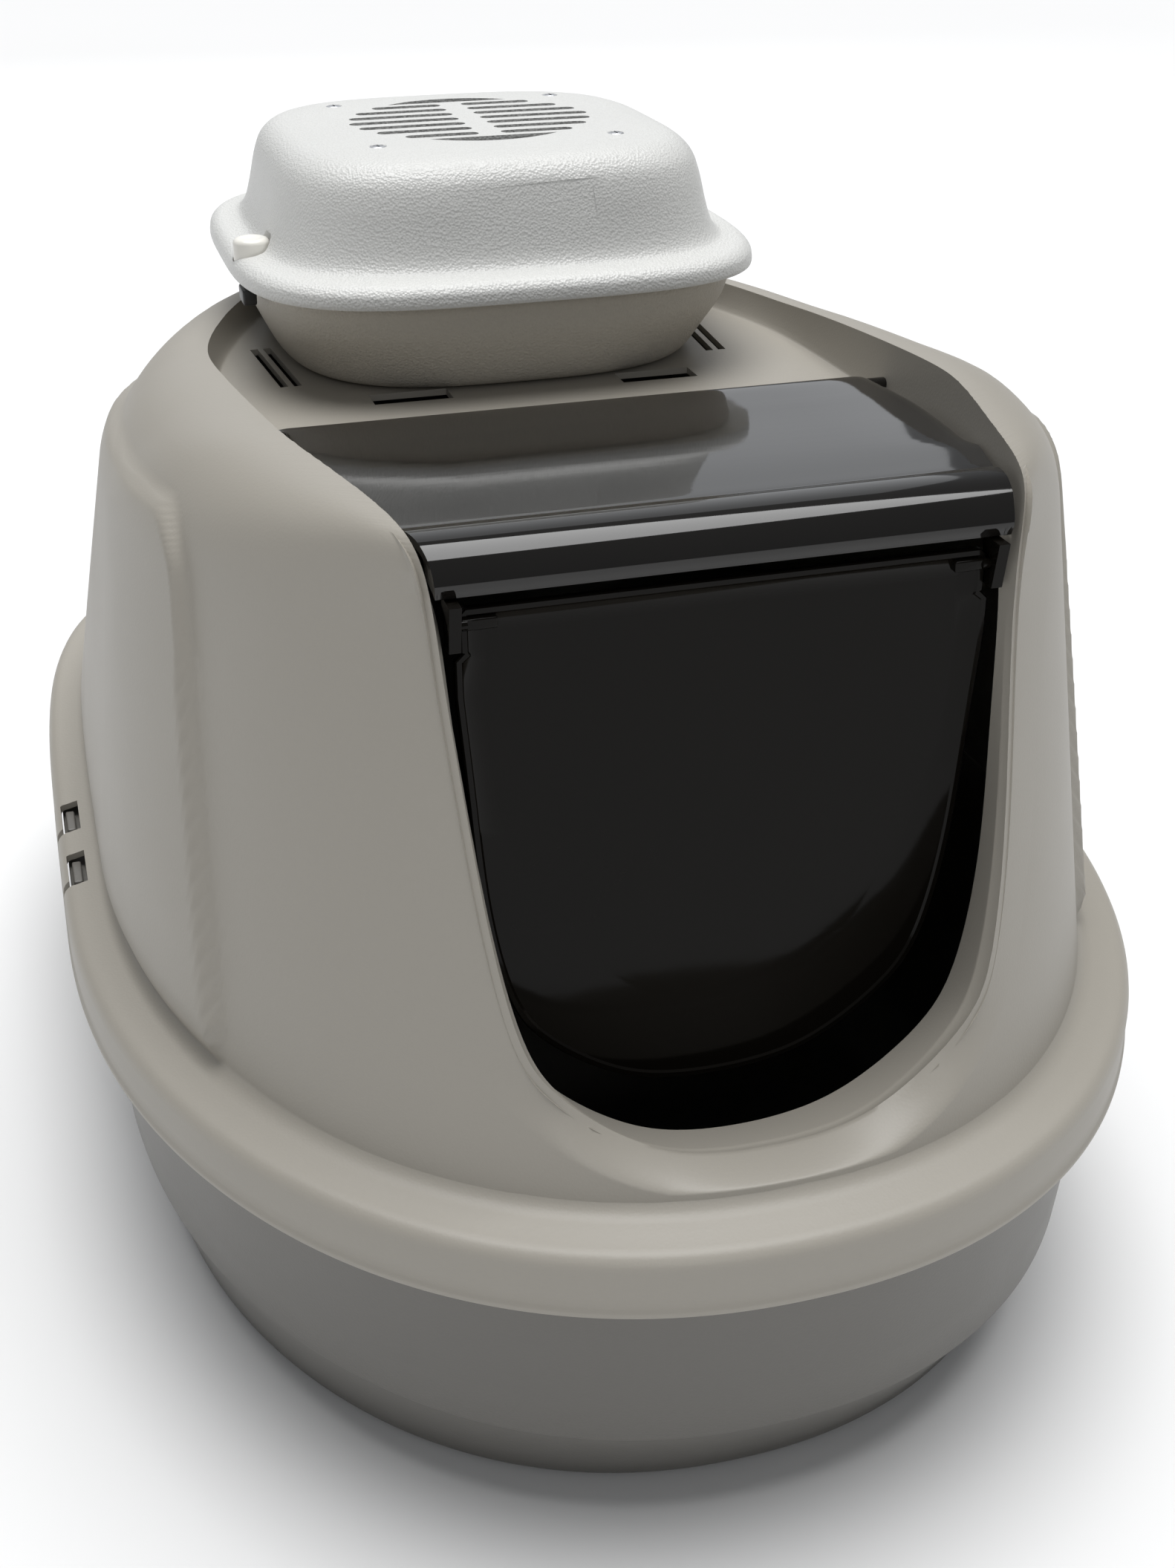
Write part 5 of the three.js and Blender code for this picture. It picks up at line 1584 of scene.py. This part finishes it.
    def tie(self, finishes: Finishes) -> bpy.types.Object:
        """The flat tie round the middle of the hank."""
        half, top, skin = self.hank_width / 2 + 0.1, self.layers * self.pitch + 0.7, 0.3
        outline = [(-half, 0.35), (half, 0.35), (half, top), (-half, top)]
        rings = []
        for x, grow in ((-4.0, 0.0), (-4.0, skin), (4.0, skin), (4.0, 0.0), (-4.0, 0.0)):
            flat = []
            for y, z in outline:
                flat.append((self.hank_x + x, self.hank_y + y + math.copysign(grow, y), z + (grow if z > 1 else -grow)))
            rings.append(np.array(flat))
        tie = loft("hank_tie", rings, finishes.cord, caps=False)
        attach(tie, "fan_unit_body")
        return tie

    def case(self, finishes: Finishes, upper: bool) -> bpy.types.Object:
        """One half of the adapter's case, with rounded edges and a seam between."""
        split = self.adapter_height * 0.55
        low, high = (split + 0.2, self.adapter_height) if upper else (0.3, split - 0.1)
        x, y = self.adapter_middle
        l, w, c = self.adapter_length / 2, self.adapter_width / 2, 6.0
        flat = []
        for cx, cy, start in ((l - c, w - c, 0), (-l + c, w - c, 90), (-l + c, -w + c, 180), (l - c, -w + c, 270)):
            for k in range(9):
                a = math.radians(start + 90 * k / 8)
                flat.append((x + cx + c * math.cos(a), y + cy + c * math.sin(a)))
        far, near = (high, low) if upper else (low, high)
        levels = [(0.5, near), (0.0, near + (0.5 if upper else -0.5))]
        for turn in np.radians([0, 22.5, 45, 67.5, 90]):
            r = 3.0
            level = far - r + r * math.sin(turn) if upper else far + r - r * math.sin(turn)
            levels.append((r * (1 - math.cos(turn)), level))
        rings = []
        for inset, level in levels:
            shrink = [(1 - inset / l), (1 - inset / w)]
            rings.append(np.array([(x + (a - x) * shrink[0], y + (b - y) * shrink[1], level) for a, b in flat]))
        name = "adapter_cover" if upper else "adapter_body"
        case = loft(name, rings, finishes.black, crease=40.0)
        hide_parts("adapter_upper_case" if upper else "adapter_lower_case")
        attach(case, "fan_unit_body")
        return case

    def relief(self, finishes: Finishes, rows: CopyPattern) -> bpy.types.Object:
        """The tapered strain relief with its ribs."""
        x = self.adapter_middle[0] - self.adapter_length / 2 - self.gap
        length = self.relief_length
        profile = [(0, 0), (3.6, 0), (3.6, -0.8), (1.7, -length + 0.6), (1.5, -length + 0.2), (0, -length)]
        cone = turned("relief_cone", profile,
                      (x, self.adapter_middle[1], self.top_turn_z), finishes.cord, "X", 32)
        rib = turned("relief_rib", [(2.0, -0.7), (2.75, -0.6), (2.95, 0.0), (2.75, 0.6), (2.0, 0.7), (2.0, -0.7)],
                     (0, 0, 0), finishes.cord, "X", 32)
        start = (x - 2.6, self.adapter_middle[1], self.top_turn_z)
        rows.apply(rib, 5, (-2.4, 0, 0), start, finishes.cord)
        relief = join([cone, rib], "strain_relief")
        shade(relief, 40.0)
        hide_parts("adapter_strain_relief")
        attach(relief, "fan_unit_body")
        return relief


# ------------------------------------------------------------------ studio
@dataclass
class Studio:
    """The pale floor, the soft lights and the camera."""

    camera_mm: tuple[float, float, float] = (-214.4, -778.7, 587.4)
    azimuth: float = -15.47
    elevation: float = 28.29
    roll: float = -0.40
    lens: float = 58.83
    shift: tuple[float, float] = (0.0379, -0.0118)

    def camera(self) -> None:
        """Place the camera."""
        a, e, r = (math.radians(v) for v in (self.azimuth, self.elevation, self.roll))
        right = Vector((math.cos(a), math.sin(a), 0))
        up = Vector((-math.sin(a) * math.sin(e), math.cos(a) * math.sin(e), math.cos(e)))
        across = right * math.cos(r) + up * math.sin(r)
        upward = up * math.cos(r) - right * math.sin(r)
        back = across.cross(upward)
        data = bpy.data.cameras.new("camera")
        data.lens = self.lens
        data.sensor_width = 36.0
        data.sensor_fit = "HORIZONTAL"
        data.shift_x, data.shift_y = self.shift
        data.clip_start, data.clip_end = 0.01, 50.0
        camera = bpy.data.objects.new("camera", data)
        place = Matrix((across, upward, back)).transposed().to_4x4()
        place.translation = Vector(self.camera_mm) * MM
        camera.matrix_world = place
        bpy.context.scene.collection.objects.link(camera)
        bpy.context.scene.camera = camera

    def floor(self) -> None:
        """Lay the floor."""
        reach = 6000.0
        points = [(-reach, -reach, 0), (reach, -reach, 0), (reach, reach, 0), (-reach, reach, 0)]
        floor = make_object("floor", points, [(0, 1, 2, 3)], PaleFloor("floor_paint", (0.80, 0.80, 0.80)).make())

    def light(self, name: str, place: Sequence[float], target: Sequence[float], size: float, power: float,
              colour: tuple[float, float, float] = (1.0, 1.0, 1.0)) -> None:
        """Hang one soft square light.

        Args:
            name: the light's name.
            place: its place in millimetres.
            target: what it faces, in millimetres.
            size: its side in metres.
            power: its power in watts.
            colour: its colour.
        """
        data = bpy.data.lights.new(name, "AREA")
        data.shape = "SQUARE"
        data.size = size
        data.energy = power
        data.color = colour
        lamp = bpy.data.objects.new(name, data)
        lamp.location = Vector(place) * MM
        aim = (Vector(target) - Vector(place)).normalized()
        lamp.rotation_euler = aim.to_track_quat("-Z", "Y").to_euler()
        bpy.context.scene.collection.objects.link(lamp)

    def lights(self) -> None:
        """Set the sky, a broad overhead light and the soft lights round the box."""
        world = bpy.data.worlds.new("studio")
        world.use_nodes = True
        world.node_tree.nodes["Background"].inputs["Color"].default_value = (0.93, 0.96, 1.0, 1.0)
        world.node_tree.nodes["Background"].inputs["Strength"].default_value = 0.2
        bpy.context.scene.world = world
        bpy.context.scene.view_settings.view_transform = "Standard"
        sky = bpy.data.lights.new("overhead", "SUN")
        sky.energy = 3.4
        sky.angle = math.radians(50)
        lamp = bpy.data.objects.new("overhead", sky)
        lamp.rotation_euler = Vector((-0.06, -0.10, -1.0)).to_track_quat("-Z", "Y").to_euler()
        bpy.context.scene.collection.objects.link(lamp)
        middle = (0, 0, 250)
        self.light("back", (300, 2600, 1750), middle, 2.6, 12.0, (0.95, 0.97, 1.0))
        self.light("front", (-200, -2400, 1300), middle, 0.7, 5.0)


# ------------------------------------------------------------------ the whole box
def dress(names: Iterable[str], material: bpy.types.Material) -> None:
    """Give frame nodes that stay as they are a better finish.

    Args:
        names: the nodes.
        material: the finish.
    """
    for name in names:
        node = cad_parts[name]
        for slot in node.material_slots:
            slot.material = material
        LOG.info("dressed %s", name)


def main() -> None:
    """Build the box and report each piece."""
    logging.basicConfig(level=logging.INFO, format="%(message)s")
    studio = Studio()
    studio.camera()
    studio.floor()
    studio.lights()
    finishes = Finishes()
    rows = CopyPattern("row_of_copies", grid=False)
    grid = CopyPattern("grid_of_copies", grid=True)
    plan = BoxPlan()
    latches = LatchRow()
    hood = Hood(plan, latches)
    unit = FanUnit(hood)
    visor = Visor(hood)
    door = SwingDoor(hood, visor)
    steps: list[Callable[[], Any]] = [
        lambda: CordSet(unit).build(finishes, rows),
        lambda: LitterPan(plan, latches).build(finishes),
        lambda: hood.build(finishes, unit, rows),
        lambda: visor.build(finishes),
        lambda: door.build(finishes),
        lambda: unit.build_shell(finishes),
        lambda: unit.build_tub(finishes),
        lambda: unit.build_screws(finishes, grid),
        lambda: unit.build_button(finishes),
        lambda: unit.build_clip(finishes),
    ]
    for step in steps:
        made = step()
        for piece in made if isinstance(made, list) else [made]:
            LOG.info("made %s", piece.name)
    dress(["door_bracket_left", "door_bracket_right"], finishes.door)
    dress(["filter_holder", "fan_frame", "fan_rotor"], finishes.black)
    dress(["carbon_filter", "unit_filter_pad"], finishes.foam)
    dress([f"fan_nut_{a}_{b}" for a in ("front", "back") for b in ("left", "right")], finishes.steel)
    dress(["adapter_blade_front", "adapter_blade_back"], finishes.brass)
    dress(["cord_grommet"], finishes.cord)


if __name__ == "__main__":
    main()
